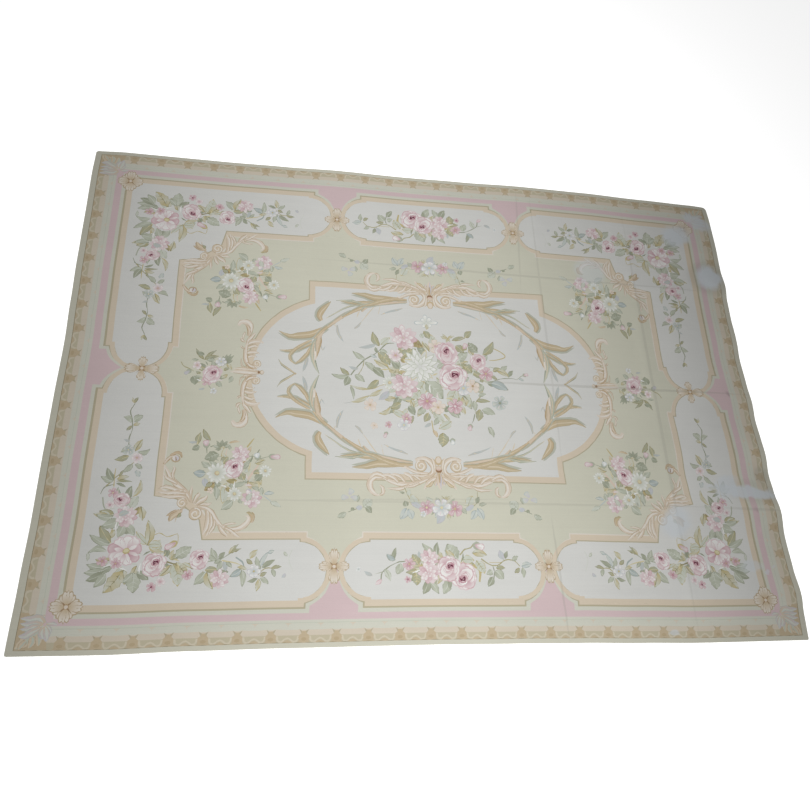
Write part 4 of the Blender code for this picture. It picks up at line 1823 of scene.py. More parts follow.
class OblongBouquets(Bouquet):
    """The bouquets of the two oblong panels, the far one the near one turned half round."""

    TURNS = (0, 180)
    STEMS = (
        (((90, -1060), (120, -1030), (155, -1020), (170, -1000)), 7, Yarn.OLIVE),
        (((-350, -1190), (-340, -1150), (-270, -1105), (-220, -1095)), 6, Yarn.SAGE_DARK),
        (((-340, -1150), (-390, -1165)), 4, Yarn.SAGE),
        (((210, -1080), (255, -1110), (300, -1115), (350, -1085), (400, -1090), (430, -1120)),
         6, Yarn.OLIVE),
        (((255, -1100), (320, -1100)), 5, Yarn.GOLD),
        (((275, -1120), (280, -1150), (270, -1220)), 5, Yarn.SAGE_DARK),
        (((150, -1110), (185, -1128), (200, -1150), (190, -1205)), 18, Yarn.GOLD),
    )
    LEAVES = (
        (-50, -1055, -120, -995, 28, SAGE), (-40, -1065, -33, -990, 26, DARK),
        (75, -1080, 20, -1000, 70, SAGE, 0.05, 0.12), (60, -1070, 10, -1030, 24, GOLD),
        (-140, -1115, -175, -1055, 46, OLIVE, 0.05, 0.14), (-150, -1140, -215, -1155, 26, OLIVE),
        (-160, -1150, -160, -1225, 46, OLIVE, 0.05, 0.14), (-95, -1195, -125, -1270, 36, DARK),
        (-85, -1205, -40, -1268, 30, SAGE), (20, -1190, -15, -1270, 42, SAGE, 0.05, 0.12),
        (20, -1190, 20, -1245, 20, DARK), (160, -1050, 245, -1060, 36, GOLD, 0.1),
        (100, -1085, 170, -1090, 40, FRAMED), (180, -1090, 225, -1160, 46, FRAMED, 0.05, 0.12),
        (-240, -1105, -265, -1165, 36, SAGE), (-330, -1135, -300, -1200, 26, PALE),
        (-280, -1085, -265, -1020, 20, DARK), (-270, -1090, -320, -1055, 24, TEAL),
        (-395, -1170, -440, -1145, 18, GREY), (270, -1140, 235, -1165, 26, SAGE),
        (285, -1145, 330, -1190, 40, SAGE), (270, -1175, 235, -1230, 28, DARK),
        (290, -1130, 345, -1130, 20, OLIVE), (340, -1085, 320, -1030, 30, LILAC),
        (350, -1080, 365, -1035, 18, DARK), (390, -1090, 425, -1065, 20, SAGE),
        (430, -1130, 395, -1155, 20, OLIVE), (445, -1125, 445, -1185, 22, SAGE),
        (440, -1120, 500, -1110, 28, BLUE), (-345, -1190, -385, -1215, 18, PINK),
        (-20, -1080, -45, -1120, 26, OLIVE), (-130, -1080, -140, -1040, 18, GREY),
    )

    def arrange(self) -> None:
        """Lay the near bouquet."""
        florist = self.florist
        florist.foliage(0, -1130, 150, 62, 16, 76, BED)
        florist.leaves(self.LEAVES)
        florist.strokes(10, -1130, 190, 80, 18, 44, GLINTS)
        florist.blossom(-195, -1110, 34, PINK_PETALS, 6, 10, Yarn.TAN)
        florist.blossom(-206, -1191, 19, PINK_PETALS, 5, 40, Yarn.MAROON)
        florist.peony(-83, -1080, 52, 10)
        florist.peony(-90, -1159, 60, 35)
        florist.rose(109, -1178, 76, 200, pale=True)
        florist.rose(22, -1132, 72, 20, pale=True)
        florist.bud((170, -1004), (235, -1018), 40, (Yarn.ROSE, Yarn.WHITE))
        florist.blossom(-470, -1136, 14, ICE_PETALS, 5, 0, Yarn.SAGE)


class CentralBouquet(Bouquet):
    """The large bouquet in the middle of the medallion."""

    STEMS = (
        (((-514, 2), (-468, 64), (-421, 114), (-352, 160), (-290, 225), (-240, 232)), 7, Yarn.SAGE_DARK),
        (((-470, 0), (-440, 60), (-432, 100)), 5, Yarn.OLIVE),
        (((385, 235), (450, 200), (465, 170), (410, 150), (360, 145)), 6, Yarn.GOLD),
        (((525, 15), (560, 45), (590, 50)), 4, Yarn.SAGE),
        (((215, 295), (180, 276), (150, 270)), 6, Yarn.OLIVE),
        (((-30, -270), (-25, -330), (-5, -375)), 7, Yarn.GOLD),
        (((240, -220), (228, -258), (210, -290)), 4, Yarn.SAGE_DARK),
        (((350, -10), (420, 20), (500, 25), (525, 15)), 5, Yarn.SAGE_DARK),
        (((300, -60), (280, -110), (250, -150), (244, -215)), 6, Yarn.OLIVE),
        (((-230, -80), (-310, -50), (-400, -85), (-515, -65)), 4, Yarn.GOLD),
        (((-400, -125), (-510, -172), (-560, -180)), 3, Yarn.GREY),
        (((330, 58), (360, 100), (430, 70)), 4, Yarn.SAGE),
    )
    LEAVES_LEFT = (
        (-333, 206, -372, 305, 36, OLIVE, 0.1), (-325, 215, -265, 270, 34, FRAMED),
        (-350, 220, -465, 190, 22, GREY), (-350, 160, -358, 200, 16, DARK),
        (-335, 175, -285, 165, 26, SAGE), (-345, 165, -270, 80, 50, OLIVE, 0.05, 0.12),
        (-425, 110, -500, 165, 28, SAGE), (-430, 95, -345, 15, 30, SAGE),
        (-380, 60, -310, -5, 40, DARK), (-465, 45, -525, 60, 18, GREY),
        (-520, -2, -630, 5, 24, SAGE, 0.12), (-520, 3, -575, 50, 24, OLIVE),
        (-525, -5, -550, -70, 34, DARK), (-490, 5, -430, -38, 32, SAGE),
        (-345, -20, -420, -85, 34, OLIVE), (-400, -85, -515, -63, 14, GOLD),
        (-515, -65, -492, -155, 16, SAGE), (-400, -125, -510, -172, 22, GOLD),
        (-320, -80, -410, -130, 22, GOLD), (-280, -90, -345, -150, 34, LILAC),
        (-190, 20, -290, 70, 50, GOLD, 0.05, 0.16), (-200, 140, -105, 200, 46, OLIVE),
        (-170, 110, -210, 130, 24, BROWN), (-150, 255, -60, 215, 46, BROWN),
        (-50, 330, -15, 275, 34, OLIVE), (-70, 310, -55, 280, 28, PALE),
        (-210, -165, -275, -200, 36, OLIVE), (-140, -130, -215, -140, 22, SAGE),
        (-245, -110, -230, -130, 24, GREY), (-270, -190, -350, -235, 24, GOLD, 0.2),
        (-265, -215, -175, -270, 34, FRAMED), (-165, -180, -130, -240, 36, DARK),
        (-200, 200, -170, 235, 26, SAGE), (-350, 130, -400, 150, 16, BLUE),
        (-215, 60, -260, 105, 26, DARK), (-240, 0, -270, 30, 24, SAGE),
    )
    LEAVES_RIGHT = (
        (130, 270, 210, 300, 20, OLIVE), (215, 295, 260, 345, 34, OLIVE),
        (150, 235, 200, 190, 44, OLIVE), (290, 195, 235, 265, 50, DARK, 0.05, 0.12),
        (320, 180, 400, 280, 40, OLIVE, -0.1), (190, 100, 240, 55, 60, OLIVE, 0.05, 0.14),
        (430, 70, 475, 110, 26, SAGE), (400, 80, 480, 30, 30, GOLD, 0.1),
        (475, 35, 510, 80, 22, DARK), (350, -10, 465, -55, 44, TEAL),
        (300, -10, 298, 20, 20, OLIVE), (300, -20, 270, -75, 30, SAGE),
        (270, -100, 320, -85, 20, SAGE), (255, -135, 345, -135, 22, OLIVE),
        (240, -130, 245, -200, 26, SAGE), (275, -185, 255, -265, 40, OLIVE, 0.05, 0.12),
        (285, -190, 370, -215, 40, SAGE, 0.05, 0.12), (-65, -15, -150, -140, 70, FRAMED, 0.06, 0.1),
        (-60, -15, 50, -130, 80, SAGE, 0.04, 0.12), (130, -55, 75, -165, 60, FRAMED),
        (145, -60, 215, -175, 56, FRAMED, 0.05, 0.12), (170, -110, 190, -170, 40, GOLD),
        (315, -295, 345, -365, 26, SAGE), (360, 40, 400, 10, 20, OLIVE),
        (60, 110, 30, 150, 34, SAGE), (170, -10, 220, 20, 30, SAGE),
        (540, 25, 575, 10, 14, BLUE), (370, -150, 430, -180, 20, SAGE),
    )
    LEAVES_BELOW = (
        (-150, -140, -135, -190, 26, GOLD), (-65, -180, -110, -235, 34, SAGE),
        (-45, -220, -75, -280, 34, OLIVE), (-35, -285, -78, -312, 18, GREY),
        (-20, -225, 50, -285, 40, FRAMED, 0.05, 0.12), (45, -225, 85, -280, 16, GOLD),
        (90, -270, 10, -320, 44, FRAMED, 0.05, 0.12), (-25, -330, 0, -375, 20, TAN),
        (35, -345, 25, -435, 56, OLIVE, 0.05, 0.12), (-10, -190, 20, -235, 40, SAGE),
        (90, -180, 150, -230, 36, DARK), (10, -250, -20, -300, 24, SAGE),
    )

    def arrange(self) -> None:
        """Lay the bouquet from its outer sprigs to its heart."""
        florist = self.florist
        florist.foliage(-20, 20, 290, 190, 36, 86, BED)
        florist.foliage(-60, -150, 230, 100, 16, 72, BED)
        florist.foliage(270, 60, 110, 130, 9, 70, BED)
        florist.leaves(self.LEAVES_BELOW)
        florist.leaves(self.LEAVES_RIGHT)
        florist.leaves(self.LEAVES_LEFT)
        florist.tuft((100, 285), ((70, 318), (150, 304), (118, 262), (92, 252), (56, 296)), 14, GOLD)
        florist.strokes(-10, 10, 310, 230, 44, 48, GLINTS)
        self.small_flowers()
        self.great_flowers()

    def small_flowers(self) -> None:
        """Lay the flowers and buds around the bouquet's edge."""
        florist = self.florist
        for flower in (
            (-236, 150, 44, BLUSH_PETALS, 6, 10, Yarn.TAN), (-50, -146, 56, PINK_PETALS, 6, 10, Yarn.TAN),
            (122, -174, 50, PINK_PETALS, 6, 35, Yarn.ROSE_PALE),
            (178, -52, 52, ICE_PETALS, 6, 0, Yarn.BUTTER),
            (238, -35, 46, PEACH_PETALS, 5, 20, Yarn.BROWN),
            (405, -142, 50, BLUE_PETALS, 6, 8, Yarn.SAGE_DARK),
            (-394, -184, 40, PEACH_PETALS, 5, 15, Yarn.TAN),
            (-375, -314, 22, PEACH_PETALS, 5, 40, Yarn.TAN),
            (-291, -304, 22, PINK_PETALS, 5, 0, Yarn.TAN),
            (-180, -262, 34, PINK_PETALS, 5, 12, Yarn.BUTTER),
            (-199, -304, 38, ICE_PETALS, 6, 0, Yarn.BUTTER),
            (16, -184, 46, PEACH_PETALS, 6, 20, Yarn.TAN), (330, 52, 48, PINK_PETALS, 5, 5, Yarn.TAN),
            (20, 226, 48, PEACH_PETALS, 5, 30, Yarn.ROSE),
        ):
            florist.blossom(*flower)
        florist.bud((-300, -350), (-318, -386), 22, ROSE_BUD)
        florist.bud((86, -380), (92, -420), 30, (Yarn.BLUE, Yarn.WHITE))
        florist.bud((210, -286), (196, -326), 28, ROSE_BUD)
        florist.bud((196, 208), (222, 256), 34, ROSE_BUD, Yarn.OLIVE)
        florist.bud((570, 48), (606, 58), 22, ROSE_BUD)
        florist.daisy(-278, -35, 46, 0, 11)
        star = (Yarn.BLUE, Yarn.SAGE_PALE, Yarn.WHITE)
        rays = ((178, 1.0), (135, 0.55), (95, 0.75), (50, 0.6), (0, 0.95), (-45, 0.5), (-130, 0.5))
        with self.chart.at(-0.031, 0.388, 4, 0.080):
            for turn, reach in rays:
                florist.petal(turn, reach, 0.34, star, 0.06)
        florist.leaf((-30, 378), (-32, 338), 20, GOLD)

    def great_flowers(self) -> None:
        """Lay the roses and peonies of the bouquet's heart."""
        florist = self.florist
        florist.peony(-190, -52, 84, 10)
        florist.peony(-180, 276, 86, 20)
        florist.peony(-88, 82, 122, 5, white=True)
        florist.rose(284, 132, 58, 30)
        florist.rose(86, 180, 80, 60)
        florist.rose(114, 24, 94, 10, pale=True)


class FieldGarlands(Bouquet):
    """The light garlands beyond the medallion's long sides, the far one the near one turned."""

    TURNS = (0, 180)
    STEMS = (
        (((-209, -681), (-196, -722), (-180, -761), (-163, -779)), 5, Yarn.OLIVE),
        (((-163, -779), (-80, -774), (0, -806), (90, -776), (176, -792)), 4, Yarn.SAGE),
        (((176, -792), (206, -760), (214, -700)), 4, Yarn.OLIVE),
    )
    LEAVES = (
        (-209, -713, -240, -705, 12, DARK), (-190, -730, -178, -695, 22, PALE),
        (-140, -790, -175, -720, 44, FRAMED), (-180, -770, -115, -805, 26, LILAC),
        (-200, -790, -215, -760, 30, DARK), (-205, -800, -240, -865, 36, BLUE),
        (-195, -805, -170, -865, 34, BLUE), (-50, -760, -90, -735, 18, PALE),
        (-30, -790, -65, -840, 14, DARK), (5, -820, -32, -888, 40, LILAC),
        (34, -830, 40, -866, 18, GOLD), (150, -790, 182, -724, 40, FRAMED),
        (186, -776, 126, -812, 24, LILAC), (204, -796, 240, -862, 34, BLUE),
        (196, -806, 166, -862, 32, BLUE), (200, -770, 222, -730, 22, DARK),
        (110, -796, 140, -830, 22, SAGE), (214, -780, 262, -770, 18, SAGE),
    )
    SPRIG = (
        (-445, -800, -395, -755, 46, PALE), (-435, -795, -400, -830, 28, DARK),
        (-450, -800, -490, -800, 24, LILAC), (-500, -800, -515, -820, 16, DARK),
        (-540, -830, -590, -856, 26, SAGE), (-480, -770, -470, -730, 20, SAGE),
    )

    def arrange(self) -> None:
        """Lay the near garland, then a sprig at each end."""
        florist = self.florist
        florist.foliage(0, -796, 130, 26, 8, 52, (SAGE, PALE, BLUE))
        florist.leaves(self.LEAVES)
        florist.tuft((20, -758), ((0, -726), (40, -722), (62, -726)), 12, GOLD)
        for flower in (
            (-89, -796, 42, PINK_PETALS, 6, 20, Yarn.BUTTER),
            (-108, -832, 18, ICE_PETALS, 5, 0, Yarn.BUTTER), (74, -801, 46, PINK_PETALS, 5, 18, Yarn.TAN),
            (-3, -796, 54, ICE_PETALS, 6, 12, Yarn.BUTTER),
        ):
            florist.blossom(*flower)
        for _ in self.chart.copies(LEFT_AND_RIGHT):
            self.sprig()

    def sprig(self) -> None:
        """Lay the sprig at the garland's left end."""
        florist = self.florist
        florist.stem(((-530, -826), (-480, -806), (-430, -792)), 4, Yarn.SAGE_DARK)
        florist.leaves(self.SPRIG)
        for x, y, turn in ((-515, -715, 60), (-500, -745, -20), (-545, -745, 180)):
            with self.chart.at(x * MM, y * MM, turn, 0.028):
                florist.petal(0, 0.8, 1.2, (Yarn.BLUE, Yarn.LILAC, Yarn.SAGE_PALE), -0.6)


class SideSprays(Bouquet):
    """The sprays of the field beyond the medallion's ends, the right one the left one turned half round."""

    TURNS = (0, 180)
    STEMS = (
        (((-1491, 51), (-1472, 23), (-1440, 9), (-1416, -7)), 5, Yarn.OLIVE),
        (((-1340, -10), (-1280, 20), (-1235, 50)), 4, Yarn.SAGE),
        (((-1340, -60), (-1320, -100), (-1300, -124)), 4, Yarn.SAGE),
    )
    LEAVES = (
        (-1363, 70, -1415, 140, 18, OLIVE), (-1363, 70, -1295, 135, 16, OLIVE),
        (-1363, 70, -1280, 95, 20, OLIVE), (-1365, 100, -1410, 120, 22, DARK),
        (-1395, 70, -1435, 68, 12, SAGE), (-1350, 65, -1300, 70, 20, SAGE),
        (-1385, 45, -1345, 15, 12, DARK), (-1235, 50, -1205, 10, 20, GOLD),
        (-1225, -20, -1262, -42, 18, GOLD), (-1200, -30, -1215, -72, 22, SAGE),
        (-1415, -35, -1400, -92, 40, DARK), (-1410, -40, -1360, -45, 12, SAGE),
        (-1345, -112, -1380, -118, 12, GREY), (-1290, -70, -1250, -100, 24, SAGE),
        (-1300, 30, -1320, 64, 20, SAGE), (-1376, -20, -1404, -6, 16, OLIVE),
    )

    def arrange(self) -> None:
        """Lay the left spray."""
        florist = self.florist
        florist.foliage(-1320, 0, 70, 70, 9, 46, BED)
        florist.leaves(self.LEAVES)
        florist.strokes(-1320, 0, 90, 90, 10, 34, GLINTS)
        tips = ((-1260, 100), (-1238, 112), (-1215, 115), (-1198, 104), (-1203, 72))
        florist.tuft((-1235, 50), tips, 15, DARK)
        for flower in (
            (-1400, 32, 26, BLUSH_PETALS, 5, 0, Yarn.TAN),
            (-1338, -65, 31, PINK_PETALS, 5, 30, Yarn.BUTTER),
            (-1268, 60, 31, ICE_PETALS, 6, 0, Yarn.BUTTER),
            (-1296, -126, 20, ICE_PETALS, 5, 12, Yarn.TAN),
        ):
            florist.blossom(*flower)
        florist.bud((-1432, 0), (-1466, -26), 26, (Yarn.GREY, Yarn.LILAC))
        florist.rose(-1314, -19, 58, 20)


# The cloth


def as_linear(yarn: Yarn) -> tuple[float, float, float]:
    """Turn a yarn's display values into linear light."""
    shares = (value / 255 for value in yarn.value)
    return tuple(s / 12.92 if s <= 0.04045 else ((s + 0.055) / 1.055) ** 2.4 for s in shares)


def inside(outline: np.ndarray, x: np.ndarray, y: np.ndarray) -> np.ndarray:
    """Say which points lie inside an outline, by how often it winds around them.

    Args:
        outline: The outline's corners.
        x: The points' places along x.
        y: The points' places along y.

    Returns:
        True for each point inside.
    """
    winding = np.zeros(len(x), np.int32)
    for (x0, y0), (x1, y1) in zip(outline, np.roll(outline, -1, axis=0)):
        side = (x1 - x0) * (y - y0) - (x - x0) * (y1 - y0)
        winding += (y0 <= y) & (y1 > y) & (side > 0)
        winding -= (y0 > y) & (y1 <= y) & (side < 0)
    return winding != 0


@dataclass
class RugSheet:
    """The rug as one closed sheet, its top divided along every edge of the design.

    Attributes:
        chart: The finished design.
        grid: Spacing of the plain points where the cloth lifts off the floor.
        flat_step: How many of those spacings lie between the plain points elsewhere.
        mesh_count: Size of the canvas squares to which the corners of the design keep, in metres.
        least_lift: Lift over the floor from which the close spacing holds.
        merge_reach: Reach within which the division takes two points as one.
    """

    chart: Chart
    grid: float = 0.030
    flat_step: int = 4
    mesh_count: float = 0.0030
    least_lift: float = 0.0001
    merge_reach: float = 0.00001

    # Start and extent of the top, the underside and the hem on the bake map
    TOP_U, TOP_V = (0.01, 0.98), (0.08, 0.91)
    BACK_V = (0.045, 0.025)
    HEM_U, HEM_V = (0.01, 0.97), (0.01, 0.02)
    # How far from each corner the hem has extra points
    HEM_POINTS = (0.010, 0.020)
    HEM_CORNER = 0.03

    def build(self) -> bpy.types.Object:
        """Build the sheet.

        Returns:
            The rug's object, with its yarn colours and its bake map.
        """
        rings = [self.short_chords(patch.outline) for patch in self.chart.patches]
        points, triangles = self.divide([(ring, np.roll(ring, -1, axis=0)) for ring in rings])
        points, triangles = self.divide([self.seen_edges(points, triangles)])
        points, triangles = self.divide([self.seen_edges(points, triangles)])
        colours = self.colour_corners(points, triangles)
        mesh = bpy.data.meshes.new("rug_sheet")
        bm = bmesh.new()
        layer = bm.loops.layers.float_color.new("yarn")
        uv = bm.loops.layers.uv.new("OFBake")
        top = [bm.verts.new(self.on_floor(x, y, CLOTH_THICKNESS)) for x, y in points]
        for corners, shades in zip(triangles, colours):
            face = bm.faces.new([top[i] for i in corners])
            face.smooth = True
            for loop, shade, i in zip(face.loops, shades, corners):
                loop[layer] = (*shade, 1.0)
                loop[uv].uv = self.bake_place(points[i])
        self.close_underside(bm, layer, uv)
        bm.to_mesh(mesh)
        bm.free()
        rug = bpy.data.objects.new("rug_sheet", mesh)
        bpy.context.scene.collection.objects.link(rug)
        return rug

    def on_floor(self, x: float, y: float, height: float) -> Vector:
        """Give a point of the nominal rectangle where it lies, at a height over the underside."""
        return Vector((*plan_place(x, y), lift_above_floor(x, y) + height))

    def bake_place(self, point: Point) -> Point:
        """Give a top point's place on the bake map, above the strip kept for hem and underside."""
        u = self.TOP_U[0] + self.TOP_U[1] * (point[0] / LONG_SIDE + 0.5)
        return u, self.TOP_V[0] + self.TOP_V[1] * (point[1] / SHORT_SIDE + 0.5)

    def hem_ring(self) -> Outline:
        """Lay points along the nominal rectangle's outline, closer together in the rounded corners.

        Returns:
            The points.
        """
        ring = []
        corners = box(HALF_LONG, HALF_SHORT)
        for (x0, y0), (x1, y1) in zip(corners, corners[1:] + corners[:1]):
            length = math.hypot(x1 - x0, y1 - y0)
            middle = length - 2 * self.HEM_CORNER
            count = round(middle / self.grid)
            places = [0.0, *self.HEM_POINTS]
            places += [self.HEM_CORNER + middle * i / count for i in range(count + 1)]
            places += [length - reach for reach in reversed(self.HEM_POINTS)]
            ring += [(x0 + (x1 - x0) * s / length, y0 + (y1 - y0) * s / length) for s in places]
        return ring

    def plain_points(self) -> Outline:
        """Lay a grid of points inside the nominal rectangle, close where the cloth lifts.

        Returns:
            The points.
        """
        columns = round(LONG_SIDE / self.grid)
        rows = round(SHORT_SIDE / self.grid)
        points = []
        for i in range(1, columns):
            for j in range(1, rows):
                x = -HALF_LONG + LONG_SIDE * i / columns
                y = -HALF_SHORT + SHORT_SIDE * j / rows
                sparse = i % self.flat_step == 0 and j % self.flat_step == 0
                if sparse or lift_above_floor(x, y) > self.least_lift:
                    points.append((x, y))
        return points

    def divide(self, lines: Sequence[tuple[np.ndarray, np.ndarray]] = ()) -> tuple[np.ndarray, np.ndarray]:
        """Divide the nominal rectangle into triangles that keep to the given lines.

        Args:
            lines: Arrays of start points with the arrays of their end points.

        Returns:
            The points and the triangles.
        """
        ring = self.hem_ring()
        points = [Vector(point) for point in ring + self.plain_points()]
        edges = [(i, (i + 1) % len(ring)) for i in range(len(ring))]
        for starts, ends in lines:
            first = len(points)
            points += [Vector(point) for point in np.stack((starts, ends), axis=1).reshape(-1, 2)]
            edges += [(first + 2 * i, first + 2 * i + 1) for i in range(len(starts))]
        found, _, triangles, *_ = delaunay_2d_cdt(points, edges, [], 0, self.merge_reach, False)
        return np.array(found), np.array(triangles)

    def short_chords(self, ring: np.ndarray) -> np.ndarray:
        """Split the long chords of an outline, so that it can follow the way the cloth lies.

        Args:
            ring: The outline's corners.

        Returns:
            The corners with the new ones between them.
        """
        pieces = []
        for start, end in zip(ring, np.roll(ring, -1, axis=0)):
            count = math.ceil(math.dist(start, end) / (2 * self.grid))
            pieces += [start + (end - start) * i / count for i in range(count)]
        return np.array(pieces)

    def find_owners(self, middle: np.ndarray) -> np.ndarray:
        """Find the topmost patch at each point.

        Args:
            middle: The points.

        Returns:
            The patches' numbers, -1 for the ground.
        """
        order = np.argsort(middle[:, 0])
        sorted_x = middle[order, 0]
        owner = np.full(len(middle), -1)
        for number, patch in enumerate(self.chart.patches):
            low, high = patch.outline.min(axis=0), patch.outline.max(axis=0)
            span = order[np.searchsorted(sorted_x, low[0]) : np.searchsorted(sorted_x, high[0])]
            near = span[(middle[span, 1] > low[1]) & (middle[span, 1] < high[1])]
            owner[near[inside(patch.outline, middle[near, 0], middle[near, 1])]] = number
        return owner

    def seen_edges(self, points: np.ndarray, triangles: np.ndarray) -> tuple[np.ndarray, np.ndarray]:
        """Find the edges between triangles that look different.

        Args:
            points: The points.
            triangles: The triangles.

        Returns:
            The start points and the end points of those edges.
        """
        owner = self.find_owners(points[triangles].mean(axis=1))
        yarns = list(Yarn)
        plain = [yarns.index(p.first) if p.first is p.last else -1 for p in self.chart.patches]
        plain.append(yarns.index(self.chart.ground))
        plain = np.array(plain)[owner]
        look = np.where(plain >= 0, plain, len(yarns) + owner)
        sides = np.concatenate([triangles[:, pair] for pair in ((0, 1), (1, 2), (2, 0))])
        looks = np.tile(look, 3)
        sides = np.sort(sides, axis=1)
        order = np.lexsort((sides[:, 1], sides[:, 0]))
        sides, looks = sides[order], looks[order]
        differ = (sides[1:] == sides[:-1]).all(axis=1) & (looks[1:] != looks[:-1])
        counted = np.round(points / self.mesh_count).astype(int)
        ends = counted[sides[1:][differ]]
        ends = np.unique(ends[(ends[:, 0] != ends[:, 1]).any(axis=1)], axis=0) * self.mesh_count
        return ends[:, 0], ends[:, 1]

    def colour_corners(self, points: np.ndarray, triangles: np.ndarray) -> np.ndarray:
        """Find the yarn at each corner of each triangle.

        Args:
            points: The top's points.
            triangles: The top's triangles.

        Returns:
            An array of triangles by corners by linear red, green and blue.
        """
        places = points[triangles]
        owner = self.find_owners(places.mean(axis=1))
        colours = np.empty((len(triangles), 3, 3))
        colours[:] = as_linear(self.chart.ground)
        for number in np.unique(owner[owner >= 0]):
            patch = self.chart.patches[number]
            mine = owner == number
            run = np.array(patch.end - patch.start)
            share = (places[mine] - np.array(patch.start)) @ run / max(float(run @ run), 1e-9)
            share = np.clip(share, 0, 1)[..., None]
            first, last = np.array(as_linear(patch.first)), np.array(as_linear(patch.last))
            colours[mine] = first + (last - first) * share
        return colours

    def close_underside(
        self, bm: bmesh.types.BMesh, layer: bmesh.types.BMLayerItem, uv: bmesh.types.BMLayerItem
    ) -> None:
        """Lay the underside and join it to the top along the hem.

        Args:
            bm: The mesh that holds the top.
            layer: Its yarn colours.
            uv: Its bake map.
        """
        rim = [edge for edge in bm.edges if edge.is_boundary]
        found, triangles = self.divide()
        back = [bm.verts.new(self.on_floor(x, y, 0.0)) for x, y in found]
        under = []
        for corners in triangles:
            face = bm.faces.new([back[i] for i in reversed(corners)])
            under.append(face)
            for loop, i in zip(face.loops, reversed(corners)):
                x, y = found[i]
                loop[layer] = (*as_linear(Yarn.SAGE_PALE), 1.0)
                u = self.TOP_U[0] + self.TOP_U[1] * (x / LONG_SIDE + 0.5)
                loop[uv].uv = (u, self.BACK_V[0] + self.BACK_V[1] * (y / SHORT_SIDE + 0.5))
        under_rim = {edge for face in under for edge in face.edges if edge.is_boundary}
        walls = bmesh.ops.bridge_loops(bm, edges=[*rim, *under_rim])["faces"]
        around = 2 * (LONG_SIDE + SHORT_SIDE)
        for face in walls:
            middle = face.calc_center_median()
            start = self.along_hem(middle)
            for loop in face.loops:
                loop[layer] = (*as_linear(Yarn.EDGE), 1.0)
                along = self.along_hem(loop.vert.co)
                if along - start > around / 2:
                    along -= around
                if start - along > around / 2:
                    along += around
                height = loop.vert.co.z - (middle.z - CLOTH_THICKNESS / 2)
                u = self.HEM_U[0] + self.HEM_U[1] * along / around
                loop[uv].uv = (u, self.HEM_V[0] + self.HEM_V[1] * height / CLOTH_THICKNESS)
        for edge in [*rim, *under_rim]:
            edge.smooth = False
        bmesh.ops.recalc_face_normals(bm, faces=bm.faces)

    def along_hem(self, place: Vector) -> float:
        """Find how far around the hem a lying point is, from the near left corner.

        Args:
            place: The point.

        Returns:
            The distance.
        """
        share_x = min(max(place.x / LONG_SIDE + 0.5, 0.0), 1.0)
        share_y = min(max(place.y / SHORT_SIDE + 0.5, 0.0), 1.0)
        from_left, from_near = share_x * LONG_SIDE, share_y * SHORT_SIDE
        from_right, from_far = (1 - share_x) * LONG_SIDE, (1 - share_y) * SHORT_SIDE
        reaches = (from_near, from_right, from_far, from_left)
        places = (
            from_left,
            LONG_SIDE + from_near,
            LONG_SIDE + SHORT_SIDE + from_right,
            2 * LONG_SIDE + SHORT_SIDE + from_far,
        )
        return places[reaches.index(min(reaches))]


# The wool's finish


